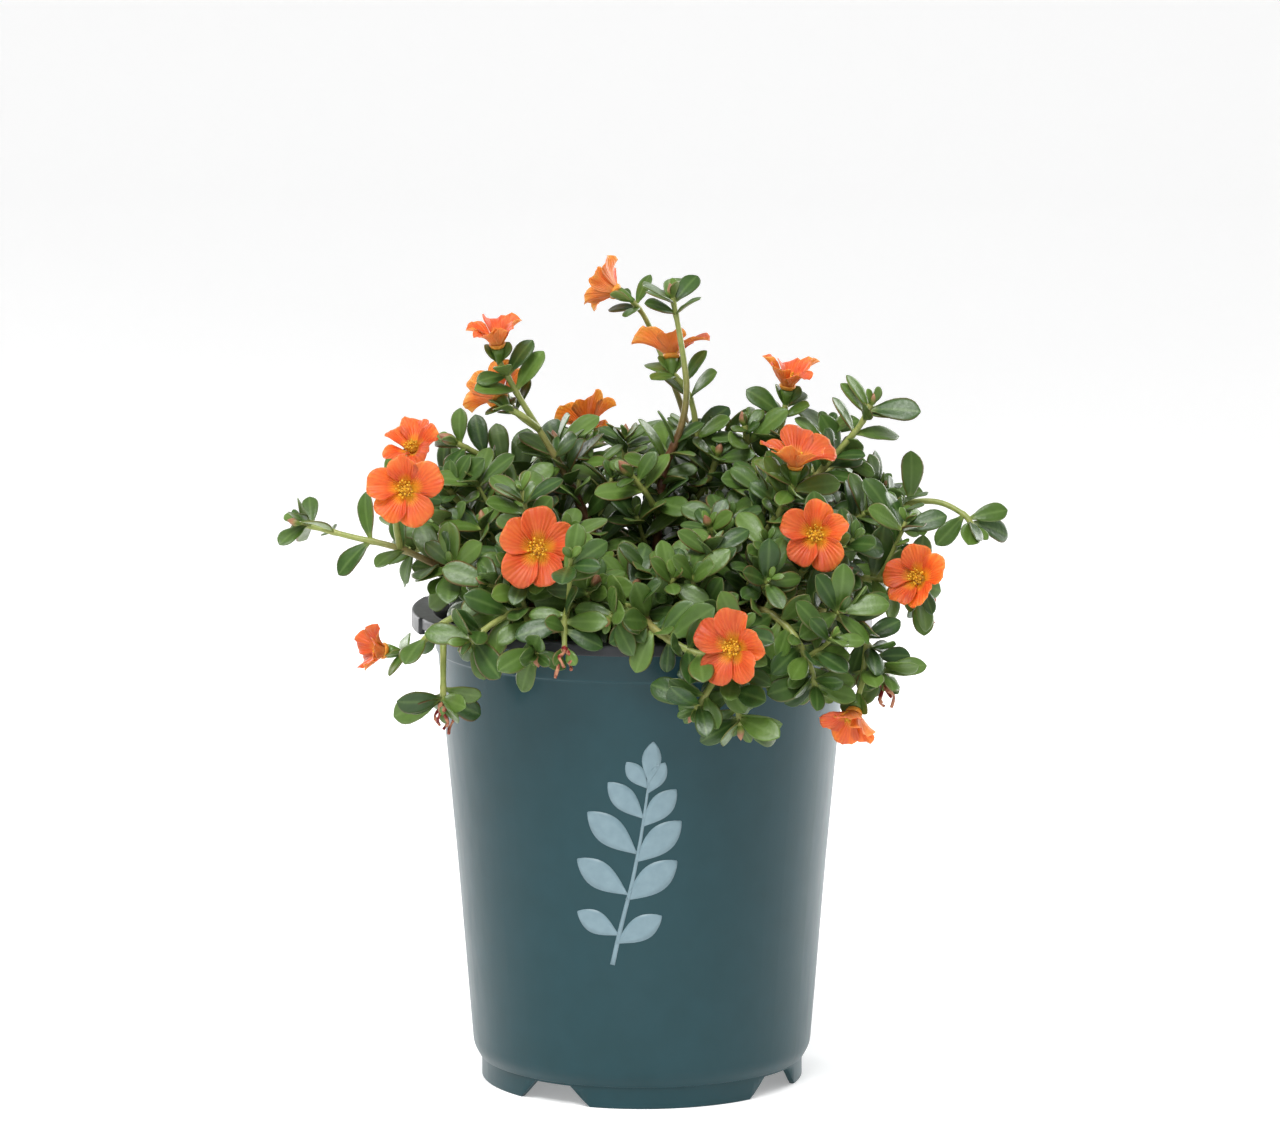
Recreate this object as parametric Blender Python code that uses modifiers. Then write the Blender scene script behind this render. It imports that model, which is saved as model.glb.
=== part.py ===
# Purslane in a nursery pot: a flowering portulaca with its leafy stems, blooms, soil and moulded pot.
# Z is the pot's own axis and Z = 0 the ground under its foot ring. The front of the plant is -Y.
# Every size below is in millimetres, and MM turns it into Blender's metres.

from math import cos, pi, radians, sin, tan

import bmesh
import bpy
import numpy as np

MM = 0.001

# Driving dimensions of the pot
POT_HEIGHT = 172.0
RIM_RADIUS = 82.5
RIM_INNER = 75.6
SKIRT_DEPTH = 4.0
GRIP_EXTRA_DEPTH = 2.0
GRIP_PROUD = 0.7
GRIP_HALF_ANGLE = 17.0
COLLAR_FOOT = 157.0
WALL = 1.5
NECK_RADIUS = 73.8
WAIST_RADIUS = 66.8
WAIST_HEIGHT = 80.0
HEEL_RADIUS = 61.3
HEEL_HEIGHT = 12.0
FOOT_RADIUS = 58.35
FOOT_WALL = 2.0
FOOT_HEIGHT = 8.0
FLOOR_TOP = 9.8
POT_SIDES = 32
NOTCH_AZIMUTHS = (-33.5, 56.5, 146.5, 236.5)
NOTCH_TOP_WIDTH = 15.0
NOTCH_FOOT_WIDTH = 30.0
NOTCH_HEIGHT = 7.2
DRAIN_RADIUS = 4.5
DRAIN_PLACE = 47.0

# Driving dimensions of the soil
SOIL_TOP = 158.0
SOIL_SIDES = 16
SOIL_BUMP = 0.8
GAP = 0.3
HOLE_DEPTH = 11.0
UPRIGHT = 4.0

# Driving dimensions of the plant
ROOT_STEM = 1.9
BRANCH_STEM = 1.4
BRANCH_STEP = 0.08
TIP_STEM = 0.95
PATH_STEP = 2.0
STEM_REACH = 40.0
STEM_BEND = 22.0
CALYX_LENGTH = 5.0
BUD_LENGTH = 7.5
SEED = 11

# A leaf: droop and arch are shares of its length, trough and the spreads shares of its width
LEAF_LENGTH = 17.0
LEAF_WIDTH = 8.0
LEAF_THICK = 0.9
LEAF_SPACING = 13.0
LEAF_DROOP = 0.16
LEAF_ARCH = 0.05
LEAF_TROUGH = 0.10
LEAF_LIFT = 0.10
BROAD_AT = 0.64
ROOT_SHARE = 0.08
TIP_SHARE = 0.22
LEAF_FAT = 1.2
OWN_LEAF_GAP = 2.3

# A bloom: its petals lean out from the steep angle at the throat to the flat one at the edge, and
# each angle is given for a narrow trumpet and for a wide open cup
PETALS = 5
PETAL_LENGTH = 14.0
PETAL_THICK = 0.7
PETAL_SPREAD = 40.0
PETAL_WAVE = 0.9
PETAL_LAP = 0.9
THROAT_LEAN = (22.0, 48.0)
EDGE_LEAN = (44.0, 88.0)
THROAT_RADIUS = 1.5
THROAT_HEIGHT = 0.8
CUP_FOOT = 2.4
CUP_TOP = 3.2
CUP_HEIGHT = 1.6
STAMENS = 5
STAMEN_HEIGHT = 5.6
STAMEN_FORK = 3.0
STAMEN_HUB = 3.4
PETAL_OWNER = 1000


def run(points, end, aim=(0, 0, 1), size=1.0, cup=0.5, whorl=3, pairs=0):
    """One length of stem: its points from fork to tip, what ends it, and how many leaves it has."""
    return {"points": points, "end": end, "aim": aim, "size": size, "cup": cup, "whorl": whorl,
            "pairs": pairs}


# Each stem: where it stands in the soil, then its runs. The first run climbs from the root, and each
# later run starts at a point of an earlier one. A bloom's aim is the way it faces, and its cup goes
# from 0, a narrow trumpet, to 1, wide open. A whorl is the leaves at the tip, and pairs stand below.
STEMS = {
    "stem_left_long": ((-22, -10), [
        run([(-36, -19, 174), (-51, -28, 183), (-67, -34, 190), (-86, -36, 199), (-104, -33, 203),
             (-121, -30, 207)], "whorl", whorl=4, pairs=3),
        run([(-86, -36, 199), (-87, -42, 212), (-82, -46, 221)], "bloom", (-0.15, -0.95, 0.22), cup=0.85,
            whorl=2),
        run([(-51, -28, 183), (-56, -26, 196), (-57, -26, 206)], "whorl")]),
    "stem_left_bud": ((-16, 14), [
        run([(-22, 14, 184), (-36, 13, 207), (-46, 12, 219), (-58, 9, 226), (-67, 6, 231)], "bud",
            whorl=3, pairs=1),
        run([(-36, 13, 207), (-58, 20, 209), (-73, 19, 216), (-81, 15, 222)], "bloom",
            (-0.25, -0.55, 0.8), size=0.9, cup=0.6, whorl=2, pairs=1)]),
    "stem_left_mid": ((-28, 2), [
        run([(-38, -3, 178), (-50, -7, 194), (-63, -12, 209), (-69, -14, 217)], "whorl", whorl=4),
        run([(-50, -7, 194), (-46, -14, 206), (-45, -18, 215)], "whorl"),
        run([(-38, -3, 178), (-58, 4, 186), (-74, 6, 192), (-84, 6, 192)], "whorl", whorl=4)]),
    "stem_upper_left": ((-8, 2), [
        run([(-13, 0, 186), (-20, -3, 205), (-28, -5, 222), (-37, -8, 238), (-44, -10, 250),
             (-51, -12, 263)], "bloom", (-0.1, -0.22, 0.95), size=0.95, cup=0.3, whorl=3, pairs=1),
        run([(-37, -8, 238), (-42, -13, 243), (-48, -13, 246)], "bloom", (-0.42, 0.75, 0.5),
            size=0.95, cup=0.35, whorl=2),
        run([(-37, -8, 238), (-44, -1, 242), (-48, 2, 247)], "whorl", size=0.8),
        run([(-20, -3, 205), (-28, 5, 219), (-31, 8, 230)], "whorl")]),
    "stem_top_centre": ((3, 4), [
        run([(5, 4, 186), (6, 2, 205), (8, 0, 222), (14, -2, 238), (16, -4, 252), (14, -6, 269),
             (11, -6, 285)], "whorl", whorl=4),
        run([(5, 4, 186), (-3, 10, 204), (-6, 14, 220), (-6, 16, 231)], "whorl"),
        run([(6, 2, 205), (2, -8, 214), (-4, -12, 222)], "bud", size=0.8, whorl=3)]),
    "stem_top_back": ((10, 14), [
        run([(14, 14, 186), (17, 13, 206), (19, 12, 226), (19, 11, 240), (16, 10, 250), (11, 9, 256)],
            "bloom", (-0.05, 0.35, 0.93), cup=0.55, whorl=3, pairs=2),
        run([(19, 12, 226), (14, 25, 243), (7, 31, 260), (1, 28, 274), (-4, 23, 281)], "bloom",
            (-0.82, 0.35, 0.38), size=0.85, cup=0.35, whorl=3),
        run([(17, 13, 206), (24, 8, 217), (27, 6, 226)], "whorl", whorl=3)]),
    "stem_right_top": ((20, 12), [
        run([(27, 14, 182), (36, 14, 200), (45, 15, 218), (50, 16, 233), (52, 16, 244)], "bloom",
            (0.1, -0.12, 0.98), cup=0.35, whorl=3, pairs=1),
        run([(45, 15, 218), (39, 10, 228), (37, 8, 237)], "whorl", size=0.8)]),
    "stem_right_sprig": ((23, 2), [
        run([(31, 2, 178), (43, 1, 196), (56, 0, 212), (68, -1, 226), (78, -2, 238), (82, -3, 246)],
            "whorl", whorl=4, pairs=1),
        run([(56, 0, 212), (64, 8, 225), (66, 12, 235)], "whorl")]),
    "stem_right_flower": ((11, -10), [
        run([(20, -17, 177), (31, -25, 189), (43, -32, 203), (51, -36, 216), (54, -38, 223)], "bloom",
            (0.05, -0.22, 0.95), size=1.1, cup=0.6, whorl=4),
        run([(31, -25, 189), (27, -34, 199), (24, -38, 207)], "whorl", size=0.8, whorl=3),
        run([(20, -17, 177), (33, -11, 192), (46, -13, 207), (54, -15, 217)], "whorl")]),
    "stem_right_mid": ((31, 10), [
        run([(42, 17, 178), (58, 23, 192), (73, 24, 204), (86, 22, 212)], "whorl", whorl=4, pairs=1),
        run([(58, 23, 192), (62, 30, 207), (64, 34, 218)], "whorl")]),
    "stem_right_long": ((31, -5), [
        run([(44, -2, 175), (59, 1, 188), (76, 4, 200), (92, 6, 208), (106, 3, 210), (116, -2, 206),
             (119, -4, 202)], "whorl", whorl=4),
        run([(59, 1, 188), (70, -8, 200), (80, -12, 208)], "whorl", whorl=4)]),
    "stem_front_right": ((18, -24), [
        run([(29, -32, 172), (42, -41, 179), (53, -48, 188), (60, -53, 199), (62, -56, 206)], "bloom",
            (-0.1, -0.93, 0.3), size=0.95, cup=0.8, whorl=2),
        run([(42, -41, 179), (58, -42, 185), (70, -43, 191)], "whorl")]),
    "stem_right_low_flower": ((27, -14), [
        run([(40, -18, 173), (58, -21, 183), (74, -27, 187), (91, -34, 187), (100, -39, 187)], "bloom",
            (-0.3, -0.88, 0.38), size=0.95, cup=0.75, whorl=3, pairs=1),
        run([(74, -27, 187), (88, -22, 187), (100, -22, 181)], "whorl")]),
    "stem_right_hanging": ((27, -34), [
        run([(39, -46, 174), (54, -57, 181), (68, -63, 179), (79, -65, 170), (85, -66, 158)], "whorl",
            whorl=4, pairs=1),
        run([(79, -65, 170), (78, -71, 160), (76, -74, 153)], "bloom", (-0.25, -0.5, -0.82),
            size=0.9, cup=0.45, whorl=0)]),
    "stem_front_flower": ((3, -34), [
        run([(2, -48, 174), (1, -66, 181), (3, -82, 179), (14, -91, 173), (26, -95, 170), (35, -96, 173)],
            "bloom", (-0.4, -0.88, 0.2), cup=0.8, whorl=0),
        run([(1, -66, 181), (-6, -77, 185), (-11, -83, 182)], "whorl")]),
    "stem_front_hanging": ((12, -36), [
        run([(16, -50, 175), (20, -66, 182), (25, -80, 180), (30, -88, 169), (33, -92, 156),
             (34, -93, 146)], "whorl", whorl=4),
        run([(30, -88, 169), (24, -94, 160), (19, -96, 152)], "whorl"),
        run([(20, -66, 182), (24, -62, 193), (24, -60, 202)], "whorl", whorl=3)]),
    "stem_front_buds": ((-9, -26), [
        run([(-15, -38, 172), (-19, -52, 179), (-19, -63, 185), (-17, -70, 191)], "bud", whorl=5),
        run([(-19, -52, 179), (-25, -68, 184), (-27, -80, 180), (-27, -88, 172)], "bud", whorl=0, pairs=1),
        run([(-15, -38, 172), (-8, -50, 180), (-3, -56, 188)], "whorl")]),
    "stem_front_left_flower": ((-19, -22), [
        run([(-27, -32, 175), (-34, -45, 184), (-36, -57, 195), (-36, -63, 202)], "bloom",
            (-0.05, -0.96, 0.28), size=1.1, cup=0.9, whorl=2),
        run([(-27, -32, 175), (-39, -38, 187), (-45, -43, 197)], "whorl"),
        run([(-34, -45, 184), (-46, -54, 186), (-54, -58, 190)], "whorl")]),
    "stem_left_low": ((-29, -26), [
        run([(-42, -38, 176), (-57, -50, 180), (-70, -58, 176), (-79, -58, 168), (-85, -56, 165)],
            "bloom", (-0.93, -0.3, 0.15), size=0.8, cup=0.4, whorl=2, pairs=1),
        run([(-70, -58, 176), (-70, -66, 162), (-70, -68, 149)], "whorl", whorl=4)]),
    "stem_left_front": ((-21, -37), [
        run([(-31, -50, 176), (-42, -62, 181), (-52, -70, 178), (-60, -75, 172)], "whorl", whorl=4),
        run([(-42, -62, 181), (-39, -74, 177), (-37, -83, 169)], "whorl")]),
    "stem_front_low_right": ((20, -42), [
        run([(29, -54, 177), (41, -66, 182), (51, -74, 177), (58, -80, 166), (61, -82, 156)], "whorl",
            whorl=4, pairs=1),
        run([(29, -54, 177), (37, -57, 188), (40, -58, 196)], "whorl", whorl=3)]),
    "stem_back_left": ((-24, 22), [
        run([(-40, 34, 178), (-56, 45, 189), (-72, 53, 192), (-85, 58, 187)], "whorl", whorl=4),
        run([(-40, 34, 178), (-40, 38, 196), (-39, 40, 210)], "whorl"),
        run([(-56, 45, 189), (-70, 37, 202), (-80, 34, 208)], "whorl")]),
    "stem_back_mid_left": ((-9, 30), [
        run([(-14, 48, 176), (-20, 66, 184), (-27, 84, 183), (-31, 95, 172), (-32, 99, 160)], "whorl",
            whorl=4),
        run([(-14, 48, 176), (-16, 46, 196), (-18, 44, 214), (-19, 42, 226)], "bloom",
            (-0.2, 0.55, 0.8), cup=0.7, whorl=3, pairs=1),
        run([(-20, 66, 184), (-30, 68, 196), (-38, 68, 204)], "whorl"),
        run([(-14, 48, 176), (0, 62, 184), (2, 80, 184), (2, 93, 176)], "whorl")]),
    "stem_back_mid_right": ((12, 30), [
        run([(19, 46, 178), (28, 62, 188), (38, 76, 190), (46, 86, 184), (50, 92, 174)], "whorl",
            whorl=4),
        run([(19, 46, 178), (16, 44, 196), (13, 41, 212), (11, 39, 224)], "whorl"),
        run([(28, 62, 188), (24, 72, 200), (20, 78, 208)], "bloom", (0.1, 0.85, 0.5), size=0.95, cup=0.8,
            whorl=3)]),
    "stem_back_right": ((28, 24), [
        run([(43, 36, 180), (58, 46, 190), (74, 54, 191), (86, 58, 184)], "whorl", whorl=4),
        run([(43, 36, 180), (42, 38, 198), (41, 38, 212)], "whorl"),
        run([(58, 46, 190), (72, 42, 203), (84, 40, 209)], "whorl")]),
}


def clear_scene():
    for thing in list(bpy.data.objects):
        bpy.data.objects.remove(thing, do_unlink=True)


def collection(name):
    made = bpy.data.collections.new(name)
    bpy.context.scene.collection.children.link(made)
    return made


def finish(name, colour, roughness):
    """A plain Principled material of one colour."""
    made = bpy.data.materials.new(name)
    made.use_nodes = True
    shader = made.node_tree.nodes["Principled BSDF"]
    shader.inputs["Base Color"].default_value = (*colour, 1.0)
    shader.inputs["Roughness"].default_value = roughness
    return made


def mesh_object(name, points, faces, home):
    mesh = bpy.data.meshes.new(name)
    mesh.from_pydata([tuple(float(c) * MM for c in p) for p in points], [], faces)
    mesh.update()
    made = bpy.data.objects.new(name, mesh)
    home.objects.link(made)
    return made


def freeze(thing):
    """Apply an object's modifiers and return it with a plain mesh."""
    view = bpy.context.evaluated_depsgraph_get()
    fresh = bpy.data.meshes.new_from_object(thing.evaluated_get(view))
    thing.modifiers.clear()
    thing.data = fresh
    return thing


def cut(thing, cutters):
    """Subtract every object of a collection from one object, and remove them."""
    step = thing.modifiers.new("cut", "BOOLEAN")
    step.operation = "DIFFERENCE"
    step.operand_type = "COLLECTION"
    step.collection = cutters
    freeze(thing)
    remove_all(cutters)


def join(thing, pieces):
    """Fuse every object of a collection into one object, and remove them."""
    step = thing.modifiers.new("join", "BOOLEAN")
    step.operation = "UNION"
    step.operand_type = "COLLECTION"
    step.collection = pieces
    freeze(thing)
    remove_all(pieces)


def remove_all(group):
    for thing in list(group.objects):
        bpy.data.objects.remove(thing, do_unlink=True)
    bpy.data.collections.remove(group)


def as_cutter(thing):
    thing.hide_render = True
    thing.display_type = "WIRE"


def dress(thing, material):
    thing.data.materials.clear()
    thing.data.materials.append(material)
    thing.data.shade_smooth()
    thing.data.set_sharp_from_angle(angle=radians(35))


# The pot is one turned wall with a flange round its top and a notched foot ring below.

def turned(name, profile, sides, home):
    """Turn a profile of (radius, height) points, outer side running down, round Z."""
    edges = [(i, i + 1) for i in range(len(profile) - 1)]
    mesh = bpy.data.meshes.new(name)
    mesh.from_pydata([(r * MM, 0, z * MM) for r, z in profile], edges, [])
    made = bpy.data.objects.new(name, mesh)
    home.objects.link(made)
    screw = made.modifiers.new("turn", "SCREW")
    screw.steps = sides
    screw.render_steps = sides
    screw.use_merge_vertices = True
    screw.merge_threshold = 0.00001
    return freeze(made)


def pot_profile():
    """From the middle of the floor out, up the inside, over the rim, down the outside, and under."""
    skirt_foot = POT_HEIGHT - SKIRT_DEPTH
    return [
        (0, FLOOR_TOP),
        (HEEL_RADIUS - 3.6, FLOOR_TOP),
        (HEEL_RADIUS - WALL, HEEL_HEIGHT),
        (WAIST_RADIUS - WALL, WAIST_HEIGHT),
        (NECK_RADIUS - WALL, COLLAR_FOOT),
        (NECK_RADIUS + 0.1, POT_HEIGHT - 3.5),
        (RIM_INNER, POT_HEIGHT),
        (RIM_RADIUS, POT_HEIGHT),
        (RIM_RADIUS, skirt_foot),
        (RIM_RADIUS - 1.3, skirt_foot),
        (RIM_RADIUS - 1.3, POT_HEIGHT - 1.5),
        (NECK_RADIUS + 1.8, POT_HEIGHT - 1.5),
        (NECK_RADIUS + 0.7, COLLAR_FOOT + 0.6),
        (NECK_RADIUS, COLLAR_FOOT),
        (WAIST_RADIUS, WAIST_HEIGHT),
        (HEEL_RADIUS, HEEL_HEIGHT),
        (FOOT_RADIUS + 0.7, FOOT_HEIGHT),
        (FOOT_RADIUS, FOOT_HEIGHT),
        (FOOT_RADIUS, 0),
        (FOOT_RADIUS - FOOT_WALL, 0),
        (FOOT_RADIUS - FOOT_WALL, FOOT_HEIGHT + 0.2),
        (0, FOOT_HEIGHT + 0.2),
    ]


def add_grips(pot):
    """Deepen the skirt at both sides and stand it a little proud, as two finger grips."""
    for vertex in pot.data.vertices:
        x, y, z = (c / MM for c in vertex.co)
        radius = (x * x + y * y) ** 0.5
        beside = abs(y) <= radius * sin(radians(GRIP_HALF_ANGLE + 0.5))
        if beside and radius > RIM_RADIUS - 2 and z > POT_HEIGHT - SKIRT_DEPTH - 1:
            if radius > RIM_RADIUS - 0.6:
                vertex.co.x *= 1 + GRIP_PROUD / radius
                vertex.co.y *= 1 + GRIP_PROUD / radius
            if z < POT_HEIGHT - SKIRT_DEPTH + 0.1:
                vertex.co.z -= GRIP_EXTRA_DEPTH * MM


def notch_cutter(azimuth, home):
    """A block that tapers upwards, laid across the foot ring; azimuth 0 is the front."""
    low = NOTCH_FOOT_WIDTH / 2
    high = NOTCH_TOP_WIDTH / 2
    near = FOOT_RADIUS - FOOT_WALL - 4
    far = FOOT_RADIUS + 4
    drop = -2.0
    flare = low + (low - high) * -drop / NOTCH_HEIGHT
    bm = bmesh.new()
    bmesh.ops.create_cube(bm, size=1.0)
    angle = radians(azimuth - 90)
    for vertex in bm.verts:
        out = far if vertex.co.x > 0 else near
        half = high if vertex.co.z > 0 else flare
        side = half if vertex.co.y > 0 else -half
        height = NOTCH_HEIGHT if vertex.co.z > 0 else drop
        vertex.co.x = (out * cos(angle) - side * sin(angle)) * MM
        vertex.co.y = (out * sin(angle) + side * cos(angle)) * MM
        vertex.co.z = height * MM
    mesh = bpy.data.meshes.new("notch")
    bm.to_mesh(mesh)
    bm.free()
    made = bpy.data.objects.new("notch", mesh)
    home.objects.link(made)
    as_cutter(made)


def drill(x, y, low, high, radius, sides, home):
    """An upright cutter for a round hole."""
    bm = bmesh.new()
    bmesh.ops.create_cone(bm, cap_ends=True, segments=sides, radius1=radius * MM, radius2=radius * MM,
                          depth=(high - low) * MM)
    bmesh.ops.translate(bm, verts=bm.verts, vec=(x * MM, y * MM, (low + high) / 2 * MM))
    mesh = bpy.data.meshes.new("drill")
    bm.to_mesh(mesh)
    bm.free()
    made = bpy.data.objects.new("drill", mesh)
    home.objects.link(made)
    as_cutter(made)


def make_pot(home):
    pot = turned("pot", pot_profile(), POT_SIDES, home)
    add_grips(pot)
    cutters = collection("pot_cutters")
    for azimuth in NOTCH_AZIMUTHS:
        notch_cutter(azimuth, cutters)
        angle = radians(azimuth - 90)
        drill(DRAIN_PLACE * cos(angle), DRAIN_PLACE * sin(angle), FOOT_HEIGHT - 2, FLOOR_TOP + 2,
              DRAIN_RADIUS, 10, cutters)
    cut(pot, cutters)
    dress(pot, finish("pot_plastic", (0.042, 0.100, 0.112), 0.38))


# The soil fills the pot to a finger's width below the rim, with a plain hole for every stem.

def soil_profile():
    slack = 2 * GAP
    return [
        (0, SOIL_TOP + 0.8),
        (24, SOIL_TOP + 0.6),
        (46, SOIL_TOP),
        (62, SOIL_TOP - 0.4),
        (NECK_RADIUS - WALL - slack, SOIL_TOP - 1.2),
        (WAIST_RADIUS - WALL - slack, WAIST_HEIGHT),
        (HEEL_RADIUS - WALL - slack, HEEL_HEIGHT + GAP),
        (HEEL_RADIUS - 3.6 - slack, FLOOR_TOP + GAP),
        (0, FLOOR_TOP + GAP),
    ]


def make_soil(home):
    soil = turned("soil", soil_profile(), SOIL_SIDES, home)
    draw = np.random.default_rng(SEED)
    lifts = draw.uniform(-SOIL_BUMP, SOIL_BUMP, len(soil.data.vertices))
    for vertex, lift in zip(soil.data.vertices, lifts):
        radius = (vertex.co.x ** 2 + vertex.co.y ** 2) ** 0.5 / MM
        if vertex.co.z / MM > SOIL_TOP - 0.8 and radius < 64:
            vertex.co.z += lift * MM
    cutters = collection("soil_cutters")
    for (x, y), _ in STEMS.values():
        drill(x, y, SOIL_TOP - HOLE_DEPTH, SOIL_TOP + 6, (ROOT_STEM + GAP + 0.1) / cos(pi / 6), 6, cutters)
    cut(soil, cutters)
    dress(soil, finish("potting_soil", (0.030, 0.021, 0.015), 0.95))


# The plant: stems follow smooth routes, leaves and blooms are set on them by rule.

def unit(v):
    v = np.asarray(v, float)
    return v / np.sqrt((v * v).sum())


def smooth(points, before=None):
    """A Catmull-Rom curve through the points, sampled about every two millimetres."""
    p = np.asarray(points, float)
    first = 2 * p[0] - p[1] if before is None else np.asarray(before, float)
    p = np.vstack([first, p, 2 * p[-1] - p[-2]])
    out = []
    for i in range(1, len(p) - 2):
        a, b, c, d = p[i - 1:i + 3]
        count = max(1, int(round(np.sqrt(((c - b) ** 2).sum()) / PATH_STEP)))
        t = np.arange(count)[:, None] / count
        out.append(0.5 * (2 * b + (c - a) * t + (2 * a - 5 * b + 4 * c - d) * t ** 2
                          + (3 * b - a - 3 * c + d) * t ** 3))
    out.append(p[-2][None])
    return np.vstack(out)


def path_of(root, index, length):
    """A run's fine path. The first run stands upright in the soil before it bends away."""
    if index:
        return smooth(length["points"])
    x, y = root
    surface = SOIL_TOP + UPRIGHT
    foot = SOIL_TOP - HOLE_DEPTH + GAP
    bend = smooth([(x, y, surface)] + length["points"], before=(x, y, surface - 20))
    return np.vstack([[(x, y, foot)], bend])


def thinned(path):
    """Keep the points of a fine path where it has turned or run on far enough for a new ring."""
    kept = [0]
    for k in range(1, len(path) - 1):
        heading = unit(path[k + 1] - path[k])
        last = unit(path[kept[-1] + 1] - path[kept[-1]])
        far = np.sqrt(((path[k] - path[kept[-1]]) ** 2).sum())
        leaves_soil = path[k][2] == SOIL_TOP + UPRIGHT
        if leaves_soil or heading @ last < cos(radians(STEM_BEND)) or far > STEM_REACH:
            kept.append(k)
    return path[kept + [len(path) - 1]]


def end_direction(path):
    return unit(path[-1] - path[-2])


def side_frame(direction):
    """Two unit vectors square to a direction; the first points as far up as it can."""
    up = np.array([0.0, 0.0, 1.0]) if abs(direction[2]) < 0.95 else np.array([0.0, 1.0, 0.0])
    first = unit(up - direction * (up @ direction))
    return first, np.cross(direction, first)


def leaf_points(base, out, face, length, width, rows, columns):
    """A blade's middle surface: a spatula that is widest past its middle and bends gently back."""
    side = np.cross(out, face)
    u = rows[:, None, None]
    v = columns[None, :, None]
    spread = width / 2 * leaf_width(u) * v
    bend = -LEAF_DROOP * length * u ** 2 + LEAF_ARCH * length * u
    trough = LEAF_TROUGH * width * leaf_width(u) * np.abs(v)
    return base + out * length * u + side * spread + face * (bend + trough)


def leaf_width(u):
    """Half width along the leaf, as a share of its greatest: narrow stalk, broad round end."""
    return 0.20 + 0.80 * np.sin(pi * np.clip(u, 0, 1) ** 1.45) ** 0.8


def opened(lean, cup):
    """An angle in radians between its value for a narrow trumpet and that for an open cup."""
    narrow, wide = lean
    return radians(narrow + (wide - narrow) * cup)


def petal_points(base, aim, spin, cup, length, rows, columns):
    """One petal of a bloom: a sector of a flared cup, with one edge in and the other edge out."""
    first, second = side_frame(aim)
    steep = opened(THROAT_LEAN, cup)
    flat = opened(EDGE_LEAN, cup)
    u = rows[:, None]
    v = columns[None, :]
    reach = u * (1 - 0.16 * np.abs(v) ** 2.4 - 0.05 * np.exp(-(v / 0.25) ** 2))
    lean = steep + (flat - steep) * reach
    radius = THROAT_RADIUS + length * reach * np.sin((steep + lean) / 2)
    height = THROAT_HEIGHT + length * reach * np.cos((steep + lean) / 2)
    wave = PETAL_WAVE * reach ** 2 * np.sin(4.2 * v + spin)
    lap = PETAL_LAP * v * np.minimum(1, 1.6 * reach)
    angle = spin + v * radians(PETAL_SPREAD) * (0.55 + 0.45 * np.minimum(1, 1.5 * reach))
    radius = radius - lap * np.cos(lean)
    height = height + lap * np.sin(lean) + wave * np.sin(lean)
    around = np.cos(angle)[..., None] * first + np.sin(angle)[..., None] * second
    return base + around * radius[..., None] + aim * height[..., None]


def bloom_base(path, length):
    """Where a bloom sits: on the calyx that ends its stem."""
    return path[-1] + unit(length["aim"]) * (CALYX_LENGTH + GAP)


def pot_is_clear(points):
    """True where points keep off the pot's wall and rim, and off the soil."""
    radius = np.sqrt(points[..., 0] ** 2 + points[..., 1] ** 2)
    z = points[..., 2]
    mouth = NECK_RADIUS - 2 * WALL
    under_rim = SOIL_TOP - 2 * SKIRT_DEPTH
    in_rim = (z < POT_HEIGHT + 1.6) & (z > under_rim) & (radius > mouth) & (radius < RIM_RADIUS + 2.6)
    in_wall = (z <= under_rim) & (radius < NECK_RADIUS + 1.6)
    in_soil = (z < SOIL_TOP + 3.0) & (radius <= mouth)
    return not np.any(in_rim | in_wall | in_soil)


class Crowd:
    """Every point already taken, with its owner and its fatness."""

    def __init__(self):
        self.points = np.zeros((0, 3))
        self.fat = np.zeros(0)
        self.owner = np.zeros(0, int)

    def add(self, points, fat, owner):
        points = np.asarray(points, float).reshape(-1, 3)
        self.points = np.vstack([self.points, points])
        self.fat = np.concatenate([self.fat, np.full(len(points), float(fat))])
        self.owner = np.concatenate([self.owner, np.full(len(points), owner)])

    def is_clear(self, points, fat, owner):
        """Other plants' points stay a full gap away, and the same plant's leaves nearly so."""
        points = points.reshape(-1, 3)
        apart = np.sqrt(((self.points[None] - points[:, None]) ** 2).sum(-1))
        other = self.owner != owner
        if np.any(apart[:, other] < (self.fat + fat)[other]):
            return False
        own_leaf = (self.owner == owner) & (self.fat == LEAF_FAT)
        return not np.any(apart[3:, own_leaf] < OWN_LEAF_GAP)


SAMPLE_ROWS = np.array([0.25, 0.45, 0.65, 0.85, 1.0])
SAMPLE_COLUMNS = np.array([-1.0, 0.0, 1.0])
TRIES = ((0, 0, 1), (28, 0, 1), (-28, 0, 1), (0, -18, 0.95), (0, 16, 0.9), (55, 8, 0.9), (-55, 8, 0.9),
         (28, -20, 0.8), (-28, -20, 0.8), (90, 0, 0.8))


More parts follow.
